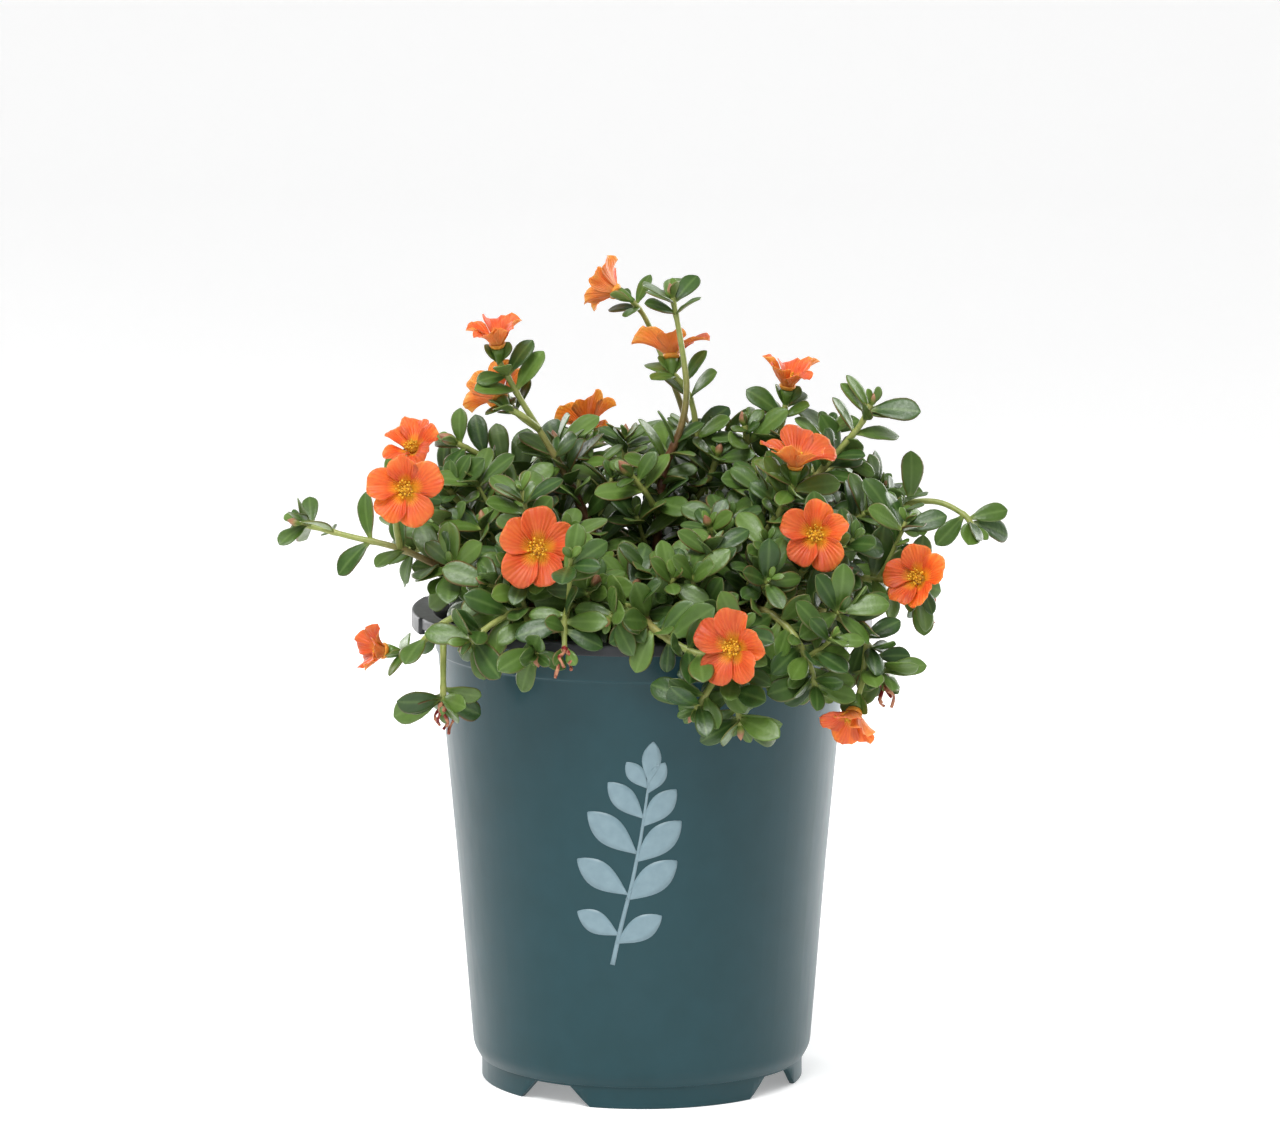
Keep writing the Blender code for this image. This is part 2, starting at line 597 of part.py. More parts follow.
def leaf_requests(stems):
    """Where leaves want to grow, tips first: (rank, owner, base, stem direction, swing, open, length)."""
    draw = np.random.default_rng(SEED)
    wanted = []
    for owner, (root, lengths) in enumerate(stems.values()):
        for index, length in enumerate(lengths):
            path = path_of(root, index, length)
            tip = end_direction(path)
            start = draw.uniform(0, 360)
            for k in range(length["whorl"]):
                swing = start + 360 / length["whorl"] * k + draw.uniform(-12, 12)
                opening = draw.uniform(52, 74)
                scale = draw.uniform(0.78, 1.0) * length["size"]
                back = int(draw.integers(1, 4))
                wanted.append((0, owner, path[-1 - back], tip, swing, opening, scale))
            for rank in range(1, length["pairs"] + 1):
                at = len(path) - 1 - int(rank * LEAF_SPACING / PATH_STEP)
                turn = draw.uniform(0, 360)
                here = unit(path[at + 1] - path[at - 1])
                for k in range(2):
                    swing = turn + 180 * k + draw.uniform(-14, 14)
                    opening = draw.uniform(50, 70)
                    scale = draw.uniform(0.85, 1.08)
                    wanted.append((rank, owner, path[at], here, swing, opening, scale))
    wanted.sort(key=lambda w: (w[0], w[1]))
    return wanted


def place_leaf(request, crowd):
    """Try a leaf as wanted, then swung or tilted a little, and give the first that has room."""
    _, owner, base, along, swing, opening, scale = request
    first, second = side_frame(along)
    for turn, tilt, shrink in TRIES:
        angle = radians(swing + turn)
        lean = radians(opening + tilt)
        away = first * cos(angle) + second * sin(angle)
        out = unit(along * cos(lean) + away * sin(lean) + np.array([0, 0, LEAF_LIFT]))
        light = 0.7 * along + np.array([0, 0, 0.8])
        face = light - out * (light @ out)
        if np.sqrt((face * face).sum()) < 0.25:
            face = out * (away @ out) - away
        face = unit(face)
        length = LEAF_LENGTH * scale * shrink
        width = LEAF_WIDTH * scale * shrink
        samples = leaf_points(base, out, face, length, width, SAMPLE_ROWS, SAMPLE_COLUMNS)
        if pot_is_clear(samples) and crowd.is_clear(samples, LEAF_FAT, owner):
            crowd.add(samples[1:], LEAF_FAT, owner)
            return base, out, face, length, width
    return None


def grow(stems):
    """Lay all stems and blooms first, then give every leaf that finds room to its stem."""
    crowd = Crowd()
    for owner, (root, lengths) in enumerate(stems.values()):
        for index, length in enumerate(lengths):
            path = path_of(root, index, length)
            crowd.add(path, ROOT_STEM + 0.4, owner)
            if length["end"] == "bloom":
                crowd.add(bloom_samples(path, length), LEAF_FAT, PETAL_OWNER)
    leaves = {owner: [] for owner in range(len(stems))}
    for request in leaf_requests(stems):
        leaf = place_leaf(request, crowd)
        if leaf is not None:
            leaves[request[1]].append(leaf)
    return leaves


def bloom_samples(path, length):
    rows = np.array([0.1, 0.4, 0.6, 0.8, 1.0])
    columns = np.linspace(-1, 1, 5)
    base = bloom_base(path, length)
    aim = unit(length["aim"])
    petals = [petal_points(base, aim, 2 * pi * k / PETALS, length["cup"],
                           PETAL_LENGTH * length["size"], rows, columns) for k in range(PETALS)]
    return np.concatenate([p.reshape(-1, 3) for p in petals])


def strip(near, near_count, far, far_count):
    """Triangles between two rows of points that start at the numbers near and far."""
    faces = []
    i = j = 0
    while i < near_count - 1 or j < far_count - 1:
        far_is_behind = (j + 1) * (near_count - 1) <= (i + 1) * (far_count - 1)
        if j < far_count - 1 and (i == near_count - 1 or far_is_behind):
            faces.append((near + i, far + j, far + j + 1))
            j += 1
        else:
            faces.append((near + i, far + j, near + i + 1))
            i += 1
    return faces


def blade(name, rows, thickness, home):
    """A closed thin blade from rows of points on its middle surface, split alike on both faces."""
    counts = [len(row) for row in rows]
    starts = [sum(counts[:k]) for k in range(len(rows))]
    middle = np.concatenate(rows)
    faces = []
    for k in range(len(rows) - 1):
        faces += strip(starts[k], counts[k], starts[k + 1], counts[k + 1])
    normals = np.zeros_like(middle)
    for a, b, c in faces:
        normals[[a, b, c]] += np.cross(middle[b] - middle[a], middle[c] - middle[a])
    normals /= np.sqrt((normals ** 2).sum(-1))[:, None]
    lift = normals * thickness / 2
    count = len(middle)
    inner = range(1, len(rows) - 1)
    rim = list(range(starts[0], starts[0] + counts[0]))
    rim += [starts[k] + counts[k] - 1 for k in inner]
    rim += list(range(starts[-1] + counts[-1] - 1, starts[-1] - 1, -1))
    rim += [starts[k] for k in reversed(inner)]
    whole = faces + [(c + count, b + count, a + count) for a, b, c in faces]
    for here, there in zip(rim, rim[1:] + rim[:1]):
        whole += [(here, there, there + count), (here, there + count, here + count)]
    return mesh_object(name, np.concatenate([middle + lift, middle - lift]), whole, home)


def leaf_blade(leaf, axes, home):
    """A leaf with its narrow root sunk to the stem's axis, broad past its middle and round at its tip."""
    base, out, face, length, width = leaf
    ends = np.array([-1.0, 1.0])
    side = np.cross(out, face)
    root = nearest_on(axes, base)
    broad = leaf_points(base, out, face, length, width, np.array([BROAD_AT]), ends)[0]
    tip = leaf_points(base, out, face, length, width, np.array([1.0]), np.zeros(2))[0]
    spread = ends[:, None] * side * width
    middle = np.concatenate([root + spread * ROOT_SHARE, broad, tip + spread * TIP_SHARE])
    lift = face * LEAF_THICK / 2
    outline = (0, 2, 4, 5, 3, 1)
    faces = [(0, 1, 3, 2), (2, 3, 5, 4), (6, 8, 9, 7), (8, 10, 11, 9)]
    faces += [(here, there, there + 6, here + 6) for here, there in zip(outline, outline[1:] + outline[:1])]
    return mesh_object("leaf", np.concatenate([middle + lift, middle - lift]), faces, home)


def nearest_on(axes, place):
    """The nearest point to a place on any of several broken lines."""
    best = None
    for line in axes:
        start = line[:-1]
        step = line[1:] - start
        share = np.clip(((place - start) * step).sum(-1) / (step * step).sum(-1), 0, 1)
        feet = start + step * share[:, None]
        apart = ((feet - place) ** 2).sum(-1)
        if best is None or apart.min() < best[0]:
            best = (apart.min(), feet[apart.argmin()])
    return best[1]


def tube(name, path, thick, thin, extra_sides, home):
    """A tapering tube along a path, as a closed mesh: four sides, and two more for each extra."""
    curve = bpy.data.curves.new(name, "CURVE")
    curve.dimensions = "3D"
    curve.bevel_depth = MM
    curve.bevel_resolution = extra_sides
    curve.use_fill_caps = True
    spline = curve.splines.new("POLY")
    spline.points.add(len(path) - 1)
    for k, (point, place) in enumerate(zip(spline.points, path)):
        point.co = (*(float(c) * MM for c in place), 1.0)
        point.radius = thick + (thin - thick) * k / (len(path) - 1)
    drawn = bpy.data.objects.new(name, curve)
    home.objects.link(drawn)
    view = bpy.context.evaluated_depsgraph_get()
    mesh = bpy.data.meshes.new_from_object(drawn.evaluated_get(view))
    bpy.data.objects.remove(drawn, do_unlink=True)
    bm = bmesh.new()
    bm.from_mesh(mesh)
    bmesh.ops.remove_doubles(bm, verts=bm.verts, dist=1e-7)
    bmesh.ops.recalc_face_normals(bm, faces=bm.faces)
    bm.to_mesh(mesh)
    bm.free()
    made = bpy.data.objects.new(name, mesh)
    home.objects.link(made)
    return made


def ringed(name, base, aim, rings, sides, home):
    """A closed body of rings (height, radius) along an axis, capped at both ends."""
    first, second = side_frame(aim)
    angles = 2 * pi * np.arange(sides) / sides
    around = np.cos(angles)[:, None] * first + np.sin(angles)[:, None] * second
    points = np.concatenate([base + aim * height + around * radius for height, radius in rings])
    faces = [tuple(reversed(range(sides)))]
    for k in range(len(rings) - 1):
        for s in range(sides):
            here = k * sides + s
            there = k * sides + (s + 1) % sides
            faces.append((here, there, there + sides, here + sides))
    last = (len(rings) - 1) * sides
    faces.append(tuple(range(last, last + sides)))
    return mesh_object(name, points, faces, home)


def add_tip(path, length, pieces):
    """What ends a run: a calyx under a bloom, a pointed bud, or nothing under a whorl."""
    if length["end"] == "bloom":
        aim = unit(length["aim"])
        rings = [(-1.2, 1.1), (CALYX_LENGTH, 2.5)]
        ringed("calyx", path[-1], aim, rings, 6, pieces)
    if length["end"] == "bud":
        aim = end_direction(path)
        rings = [(-1.0, 0.9), (BUD_LENGTH * 0.4, 2.1), (BUD_LENGTH, 0.5)]
        ringed("bud", path[-1], aim, rings, 5, pieces)


def make_stem(name, root, lengths, leaves, home, material):
    pieces = collection(name + "_pieces")
    body = None
    axes = []
    for index, length in enumerate(lengths):
        path = thinned(path_of(root, index, length))
        axes.append(path)
        if index:
            tube("branch", path, BRANCH_STEM - BRANCH_STEP * index, TIP_STEM, 0, pieces)
        else:
            body = tube(name, path, ROOT_STEM, TIP_STEM, 1, home)
        add_tip(path, length, pieces)
    for leaf in leaves:
        leaf_blade(leaf, axes, pieces)
    join(body, pieces)
    dress(body, material)
    print(name, len(leaves), "leaves", sum(len(p.vertices) - 2 for p in body.data.polygons), "triangles")


def make_bloom(name, path, length, home, petal_material, stamen_material):
    """Five lapped petals on a small cup, with a tuft of stamens standing in it."""
    aim = unit(length["aim"])
    base = bloom_base(path, length)
    size = length["size"]
    cup = length["cup"]
    petals = ringed(name + "_petals", base, aim, [(0, CUP_FOOT), (CUP_HEIGHT, CUP_TOP)], 6, home)
    pieces = collection(name + "_pieces")
    for k in range(PETALS):
        spin = 2 * pi * k / PETALS
        rows = [petal_points(base, aim, spin, cup, PETAL_LENGTH * size, np.array([u]),
                             np.linspace(-1, 1, count))[0] for u, count in ((0.0, 2), (0.55, 2), (1.0, 3))]
        blade("petal", rows, PETAL_THICK, pieces)
    join(petals, pieces)
    dress(petals, petal_material)
    tuft = stamen_crown(name + "_stamens", base, aim, cup, size, home)
    dress(tuft, stamen_material)


def stamen_crown(name, base, aim, cup, size, home):
    """A tuft of stamens as one spiky crown: a foot, a ring of tips and forks, and a hub."""
    steep = opened(THROAT_LEAN, cup)
    foot_height = CUP_HEIGHT + GAP
    foot_radius = 0.65 + 1.1 * tan(steep)
    tip_height = STAMEN_HEIGHT * size
    tip_radius = foot_radius + (tip_height - foot_height) * tan(steep) * 0.6
    first, second = side_frame(aim)
    turns = 2 * pi * np.arange(STAMENS) / STAMENS
    half = pi / STAMENS

    def ring(height, radius, angles):
        around = np.cos(angles)[:, None] * first + np.sin(angles)[:, None] * second
        return base + aim * height + around * radius

    feet = ring(foot_height, foot_radius, turns)
    tips = ring(tip_height, tip_radius, turns)
    forks = ring(STAMEN_FORK, foot_radius * 0.95, turns + half)
    hub = 3 * STAMENS
    faces = [tuple(reversed(range(STAMENS)))]
    for foot in range(STAMENS):
        next_foot = (foot + 1) % STAMENS
        tip = STAMENS + foot
        next_tip = STAMENS + next_foot
        fork = 2 * STAMENS + foot
        faces += [(foot, fork, tip), (foot, next_foot, fork), (next_foot, next_tip, fork)]
        faces += [(tip, fork, hub), (fork, next_tip, hub)]
    points = np.concatenate([feet, tips, forks, (base + aim * STAMEN_HUB)[None]])
    return mesh_object(name, points, faces, home)


def main():
    clear_scene()
    home = collection("purslane_in_pot")
    make_pot(home)
    make_soil(home)
    green = finish("leaf_green", (0.060, 0.150, 0.028), 0.42)
    orange = finish("petal_orange", (0.840, 0.125, 0.035), 0.55)
    yellow = finish("stamen_yellow", (0.850, 0.420, 0.030), 0.60)
    leaves = grow(STEMS)
    blooms = 0
    for owner, (name, (root, lengths)) in enumerate(STEMS.items()):
        make_stem(name, root, lengths, leaves[owner], home, green)
        for index, length in enumerate(lengths):
            if length["end"] == "bloom":
                blooms += 1
                path = path_of(root, index, length)
                make_bloom("bloom_%02d" % blooms, path, length, home, orange, yellow)
    print(blooms, "blooms", sum(len(found) for found in leaves.values()), "leaves")


main()
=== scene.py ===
# %% [markdown]
# A potted portulaca, dressed for its picture. The CAD model already has every stem, bloom, the soil
# and the pot as solids at their real size, with few faces. This lesson puts a fine surface in the
# place of each solid. Nearly every shape here is a grid of points worked out with numpy, because a
# leaf, a petal, a stem and a pot are all smooth functions of two numbers.

# %% Load the packed model and keep its box
from math import cos, pi, radians, sin

import bpy
import numpy as np
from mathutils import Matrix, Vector


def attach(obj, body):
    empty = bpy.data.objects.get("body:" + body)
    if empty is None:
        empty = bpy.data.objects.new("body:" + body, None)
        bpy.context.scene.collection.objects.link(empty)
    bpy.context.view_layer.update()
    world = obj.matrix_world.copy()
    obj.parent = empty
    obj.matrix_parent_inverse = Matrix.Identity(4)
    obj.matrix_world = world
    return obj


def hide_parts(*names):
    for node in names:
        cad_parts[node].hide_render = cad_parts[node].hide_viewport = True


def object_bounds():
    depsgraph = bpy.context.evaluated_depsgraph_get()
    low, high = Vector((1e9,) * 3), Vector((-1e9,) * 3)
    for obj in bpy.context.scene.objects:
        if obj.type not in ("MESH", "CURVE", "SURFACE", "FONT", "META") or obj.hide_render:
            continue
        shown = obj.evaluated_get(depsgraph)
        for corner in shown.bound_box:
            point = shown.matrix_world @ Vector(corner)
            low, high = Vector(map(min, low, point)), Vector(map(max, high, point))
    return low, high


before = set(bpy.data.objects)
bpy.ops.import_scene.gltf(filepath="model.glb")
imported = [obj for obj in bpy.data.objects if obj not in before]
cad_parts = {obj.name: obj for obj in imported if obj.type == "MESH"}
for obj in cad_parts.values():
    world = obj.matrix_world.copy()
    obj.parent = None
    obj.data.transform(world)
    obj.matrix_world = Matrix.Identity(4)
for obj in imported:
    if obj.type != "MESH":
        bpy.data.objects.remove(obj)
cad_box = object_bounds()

MM = 0.001
print("CAD box in mm:", [[round(c / MM, 1) for c in corner] for corner in cad_box])

# %% [markdown]
# One mesh holds many small surfaces, such as all the leaves of a stem. A heap gathers their points and
# faces first, and writes them into the mesh in one go with foreach_set, which is far quicker than
# adding them one by one. Beside its place, every point keeps a few numbers that its finish reads:
# how far along and across its leaf it lies, and which side it is on.

# %% A heap of grids that becomes one mesh
class Heap:
    """Points, faces and named values of many small surfaces. A triangle's fourth corner is -1."""

    def __init__(self):
        self.points = []
        self.faces = []
        self.finishes = []
        self.values = {}
        self.count = 0

    def add(self, points, faces, skin=0, **values):
        """Adds surfaces that share one numbering: points is (any, points in one, 3). Skin is the number
        of a finish, for all faces or for each."""
        points = points.reshape(-1, points.shape[-2], 3)
        copies, size = points.shape[:2]
        offsets = self.count + size * np.arange(copies)[:, None, None]
        moved = np.where(faces[None] < 0, -1, faces[None] + offsets).reshape(-1, 4)
        self.points.append(points.reshape(-1, 3))
        self.faces.append(moved)
        self.finishes.append(np.full(len(moved), skin))
        for name, value in values.items():
            filled = np.broadcast_to(value, (copies, size)).reshape(-1)
            self.values.setdefault(name, []).append((self.count, filled))
        self.count += copies * size

    def piece(self, name, finishes):
        """One smooth-shaded mesh object in metres, with its values as attributes of its points."""
        points = np.concatenate(self.points) * MM
        faces = np.concatenate(self.faces)
        corners = faces >= 0
        sizes = corners.sum(1)
        mesh = bpy.data.meshes.new(name)
        mesh.vertices.add(len(points))
        mesh.vertices.foreach_set("co", points.astype(np.float32).ravel())
        mesh.loops.add(int(sizes.sum()))
        mesh.loops.foreach_set("vertex_index", faces[corners].astype(np.int32))
        mesh.polygons.add(len(faces))
        starts = np.concatenate([[0], np.cumsum(sizes)[:-1]])
        mesh.polygons.foreach_set("loop_start", starts.astype(np.int32))
        mesh.polygons.foreach_set("material_index", np.concatenate(self.finishes).astype(np.int32))
        for key, parts in self.values.items():
            values = np.zeros(len(points), np.float32)
            for start, part in parts:
                values[start:start + len(part)] = part
            mesh.attributes.new(key, "FLOAT", "POINT").data.foreach_set("value", values)
        mesh.update(calc_edges=True)
        mesh.shade_smooth()
        for material in finishes:
            mesh.materials.append(material)
        made = bpy.data.objects.new(name, mesh)
        bpy.context.scene.collection.objects.link(made)
        return made


print("a heap gathers:", ", ".join(vars(Heap())))

# %% [markdown]
# Every surface here is a grid, so its faces follow from how many rows and columns it has. A leaf and a
# stem are tubes, whose last column meets the first and whose ends are capped. A petal is a thin sheet,
# with an upper side, an under side and a narrow wall between them all round.

# %% Faces of grids, tubes and sheets
def full_turn(count):
    """Angles evenly spaced round a circle, the last one a step short of the first."""
    return np.arange(count) / count * 2 * pi


def grid_faces(rows, columns, wrap):
    """Quads between neighbours of a grid numbered row by row. With wrap, its sides meet as a tube."""
    row = np.arange(rows - 1)[:, None] * columns
    left = np.arange(columns if wrap else columns - 1)[None, :]
    right = (left + 1) % columns
    corners = [row + left, row + right, row + columns + right, row + columns + left]
    return np.stack(corners, -1).reshape(-1, 4)


def cap_faces(columns):
    """A strip of faces straight across a ring of an even number of points."""
    half = columns // 2
    j = np.arange(1, half - 1)
    across = np.stack([j, j + 1, columns - j - 1, columns - j], -1)
    ends = [[0, 1, columns - 1, -1], [half - 1, half, half + 1, -1]]
    return np.vstack([ends, across])


def flipped(faces):
    """The same faces seen from behind."""
    turned = faces[:, [2, 1, 0, 3]]
    return np.where(faces[:, 3:] < 0, turned, faces[:, ::-1])


def closed_tube(rows, columns):
    """A tube's faces with a cap on both ends, all facing out."""
    top = cap_faces(columns)
    lifted = np.where(top < 0, -1, top + (rows - 1) * columns)
    return np.vstack([grid_faces(rows, columns, True), flipped(top), lifted])


def closed_sheet(rows, columns):
    """A thin sheet's faces: upper side, under side and rim. The under side's points come second."""
    upper = grid_faces(rows, columns, False)
    size = rows * columns
    row = np.arange(rows)
    column = np.arange(columns)
    edges = [column, row * columns + columns - 1, size - 1 - column, (rows - 1 - row) * columns]
    rim = np.concatenate([edge[:-1] for edge in edges])
    ahead = np.roll(rim, -1)
    wall = np.stack([ahead, rim, rim + size, ahead + size], -1)
    return np.vstack([upper, flipped(upper + size), wall])


print("faces of a closed tube of 3 rings of 8 points:", len(closed_tube(3, 8)))

# %% A piece's part in the model
def dress(piece, slot, *nodes):
    """A piece stays with the pot and stands for CAD nodes, if any, which it hides. Its slot is not used."""
    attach(piece, "root")
    if nodes:
        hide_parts(*nodes)
    print(piece.name, len(piece.data.polygons), "faces")

# %% [markdown]
# A finish is a small graph of nodes that ends in a Principled shader. The helpers below add a node
# and set or link its inputs in one line, so that each finish reads as a short recipe. Patterns read
# object coordinates in metres, so a noise scale of 500 makes spots of about two millimetres.

# %% Helpers for finishes
def finish(name, roughness, specular=0.5):
    """A new material, its node tree and its Principled shader with the plain numbers set."""
    made = bpy.data.materials.new(name)
    made.use_nodes = True
    shader = made.node_tree.nodes["Principled BSDF"]
    shader.inputs["Roughness"].default_value = roughness
    shader.inputs["Specular IOR Level"].default_value = specular
    return made, made.node_tree, shader


def add(tree, kind, settings=(), **inputs):
    """A node of a kind with its settings, each input set to a value or linked to a socket."""
    made = tree.nodes.new("ShaderNode" + kind)
    for key, value in dict(settings).items():
        setattr(made, key, value)
    for key, value in inputs.items():
        socket = made.inputs[key.replace("_", " ")]
        if isinstance(value, bpy.types.NodeSocket):
            tree.links.new(value, socket)
        else:
            socket.default_value = value
    return made


def attribute(tree, name):
    """One of the numbers that the heap kept for every point."""
    return add(tree, "Attribute", {"attribute_name": name}).outputs["Fac"]


def noise(tree, scale, detail=3.0, stretch=(1, 1, 1)):
    """Noise on object coordinates, stretched if the grain has a direction."""
    place = add(tree, "TexCoord").outputs["Object"]
    mapped = add(tree, "Mapping", Vector=place, Scale=stretch).outputs["Vector"]
    return add(tree, "TexNoise", Vector=mapped, Scale=scale, Detail=detail).outputs["Fac"]


def spread(tree, value, low, high, to_low=0.0, to_high=1.0):
    """A value taken from one range to another, and held at its ends."""
    made = add(tree, "MapRange", Value=value)
    made.inputs["From Min"].default_value = low
    made.inputs["From Max"].default_value = high
    made.inputs["To Min"].default_value = to_low
    made.inputs["To Max"].default_value = to_high
    return made.outputs["Result"]


def maths(tree, operation, first, second=0.0):
    """A sum, product or sine. Each input is a socket or a number."""
    made = add(tree, "Math", {"operation": operation})
    for socket, value in zip(made.inputs, (first, second)):
        if isinstance(value, bpy.types.NodeSocket):
            tree.links.new(value, socket)
        else:
            socket.default_value = value
    return made.outputs["Value"]


def mixed(tree, share, first, second):
    """A colour between two others. Each is a socket or red, green and blue."""
    made = add(tree, "Mix", {"data_type": "RGBA"})
    tree.links.new(share, made.inputs[0])
    for socket, value in ((made.inputs[6], first), (made.inputs[7], second)):
        if isinstance(value, bpy.types.NodeSocket):
            tree.links.new(value, socket)
        else:
            socket.default_value = (*value, 1.0)
    return made.outputs[2]


def paint(tree, shader, colour):
    """The colour reaches the shader."""
    tree.links.new(colour, shader.inputs["Base Color"])


def emboss(tree, shader, height, depth, strength=1.0):
    """Relief on a surface; depth is in metres."""
    bump = add(tree, "Bump", Height=height, Distance=depth, Strength=strength)
    tree.links.new(bump.outputs["Normal"], shader.inputs["Normal"])


def screen(red, green, blue):
    """A colour as read on a screen, 0 to 255, turned into the linear values that Blender mixes."""
    value = np.array([red, green, blue]) / 255
    return tuple(np.where(value < 0.04045, value / 12.92, ((value + 0.055) / 1.055) ** 2.4))


print("half of a screen's white is", round(screen(128, 128, 128)[0], 3), "of the light")

# %% [markdown]
# The pot is one injection moulding, turned round an axis: a profile of radius and height, carried
# round in a circle. Only two things break the circle. The skirt under the rim is deeper and prouder
# at two finger grips, and the foot ring has four notches. Both are written as a change of radius or
# height that depends on the angle, so the whole pot stays one grid. Its corners are small arcs,
# because a moulding has no knife edges and the arcs catch the light.

# %% Sizes of the pot, in millimetres, as the solids have them
POT_HEIGHT = 172.0
RIM_RADIUS = 82.5
RIM_INNER = 75.6
SKIRT_DEPTH = 4.0
SKIRT_THICK = 1.3
GRIP_EXTRA_DEPTH = 2.0
GRIP_PROUD = 0.7
GRIP_HALF_ANGLE = radians(16.9)
COLLAR_FOOT = 157.0
WALL = 1.5
NECK_RADIUS = 73.8
WAIST_RADIUS = 66.8
WAIST_HEIGHT = 80.0
HEEL_RADIUS = 61.3
HEEL_HEIGHT = 12.0
FOOT_RADIUS = 58.35
FOOT_WALL = 2.0
FOOT_HEIGHT = 8.0
FLOOR_TOP = 9.8
NOTCH_ANGLES = np.radians([-123.5, -33.5, 56.5, 146.5])
NOTCH_TOP_WIDTH = 15.0
NOTCH_FOOT_WIDTH = 30.0
NOTCH_HEIGHT = 7.2
DRAIN_RADIUS = 4.5
DRAIN_PLACE = 47.0
POLE = 0.05
NEAR = 0.1
print("pot:", POT_HEIGHT, "mm tall,", 2 * RIM_RADIUS, "mm across the rim")

# %% Outlines with rounded corners
LONGEST_STEP = 8.0
CORNER_MARGIN = 0.5
MOST_FILLET = 0.45


def rounded(corners, steps=4):
    """An outline of (x, y, fillet) whose corners become curves: each starts and ends a fillet's length
    from the corner and is drawn towards it, as a quadratic curve is towards its middle point."""
    spots = np.array(corners)[:, :2]
    fillets = np.array(corners)[:, 2]
    out = [spots[:1]]
    t = np.linspace(0, 1, steps + 1)[:, None]
    for before, here, after, fillet in zip(spots[:-2], spots[1:-1], spots[2:], fillets[1:-1]):
        back = before - here
        ahead = after - here
        reach = min(fillet, MOST_FILLET * np.hypot(*back), MOST_FILLET * np.hypot(*ahead))
        start = here + back / np.hypot(*back) * reach
        end = here + ahead / np.hypot(*ahead) * reach
        out.append((1 - t) ** 2 * start + 2 * t * (1 - t) * here + t ** 2 * end)
    out.append(spots[-1:])
    return np.vstack(out)


def supported(outline, longest=LONGEST_STEP, margin=CORNER_MARGIN):
    """Splits long stretches, and adds a point close to both their ends so that they shade flat."""
    out = [outline[:1]]
    for start, end in zip(outline[:-1], outline[1:]):
        length = np.hypot(*(end - start))
        inner = []
        if length > 3 * margin:
            inner = [margin, *np.linspace(0, length, int(length / longest) + 2)[1:-1], length - margin]
        out.append(start + (end - start) * np.array([*inner, length])[:, None] / length)
    return np.vstack(out)


print("points of one rounded corner:", len(rounded([(0, 0, 0), (9, 0, 2), (9, 9, 0)])) - 2)

# %% The pot's outline: radius, height and fillet of each corner
skirt_foot = POT_HEIGHT - SKIRT_DEPTH
inside_and_rim = [
    (POLE, FLOOR_TOP, 0),
    (HEEL_RADIUS - 3.6, FLOOR_TOP, 1.5),
    (HEEL_RADIUS - WALL, HEEL_HEIGHT, 1.5),
    (WAIST_RADIUS - WALL, WAIST_HEIGHT, 6),
    (NECK_RADIUS - WALL, COLLAR_FOOT, 3),
    (NECK_RADIUS + 0.1, POT_HEIGHT - 3.5, 1.5),
    (RIM_INNER, POT_HEIGHT, 1.2),
    (RIM_RADIUS, POT_HEIGHT, 0.9),
    (RIM_RADIUS, skirt_foot, 0.35),
    (RIM_RADIUS - SKIRT_THICK, skirt_foot, 0.35),
    (RIM_RADIUS - SKIRT_THICK, POT_HEIGHT - 1.5, 0.4),
]
outside_and_foot = [
    (NECK_RADIUS + 1.8, POT_HEIGHT - 1.5, 0.8),
    (NECK_RADIUS + 0.7, COLLAR_FOOT + 0.6, 0.3),
    (NECK_RADIUS, COLLAR_FOOT, 0.5),
    (WAIST_RADIUS, WAIST_HEIGHT, 6),
    (HEEL_RADIUS, HEEL_HEIGHT, 2.5),
    (FOOT_RADIUS + 0.7, FOOT_HEIGHT, 0.8),
    (FOOT_RADIUS, FOOT_HEIGHT, 0.3),
    (FOOT_RADIUS, 0, 0.5),
    (FOOT_RADIUS - FOOT_WALL, 0, 0.5),
    (FOOT_RADIUS - FOOT_WALL, FOOT_HEIGHT + 0.2, 0.5),
    (POLE, FOOT_HEIGHT + 0.2, 0),
]
pot_outline = supported(rounded(inside_and_rim + outside_and_foot))
print("pot outline points:", len(pot_outline))

# %% Angles round the pot, with extra ones where a notch or a grip begins and ends
EVEN_COLUMNS = 140
GRIP_STEP = 0.004


def notch_rise(angle):
    """How far the foot is cut up at an angle: full over the notch's top, falling straight to its foot."""
    away = np.abs((angle[:, None] - NOTCH_ANGLES[None] + pi) % (2 * pi) - pi).min(1) * FOOT_RADIUS
    share = (NOTCH_FOOT_WIDTH / 2 - away) / (NOTCH_FOOT_WIDTH / 2 - NOTCH_TOP_WIDTH / 2)
    return NOTCH_HEIGHT * np.clip(share, 0, 1)


def grip_share(angle):
    """One inside the two finger grips and zero elsewhere."""
    away = np.abs((angle + pi / 2) % pi - pi / 2)
    return (away <= GRIP_HALF_ANGLE + 1e-4).astype(float)


notch_corners = [NOTCH_ANGLES + side * half / FOOT_RADIUS
                 for side in (-1, 1) for half in (NOTCH_TOP_WIDTH / 2, NOTCH_FOOT_WIDTH / 2)]
grip_ends = [middle + side * (GRIP_HALF_ANGLE + step)
             for middle in (0, pi) for side in (-1, 1) for step in (0, GRIP_STEP)]
even_angles = full_turn(EVEN_COLUMNS)
special_angles = np.concatenate([np.ravel(notch_corners), grip_ends])
pot_angles = np.unique((np.concatenate([even_angles, special_angles]) % (2 * pi)).round(5))
print("pot angles:", len(pot_angles))


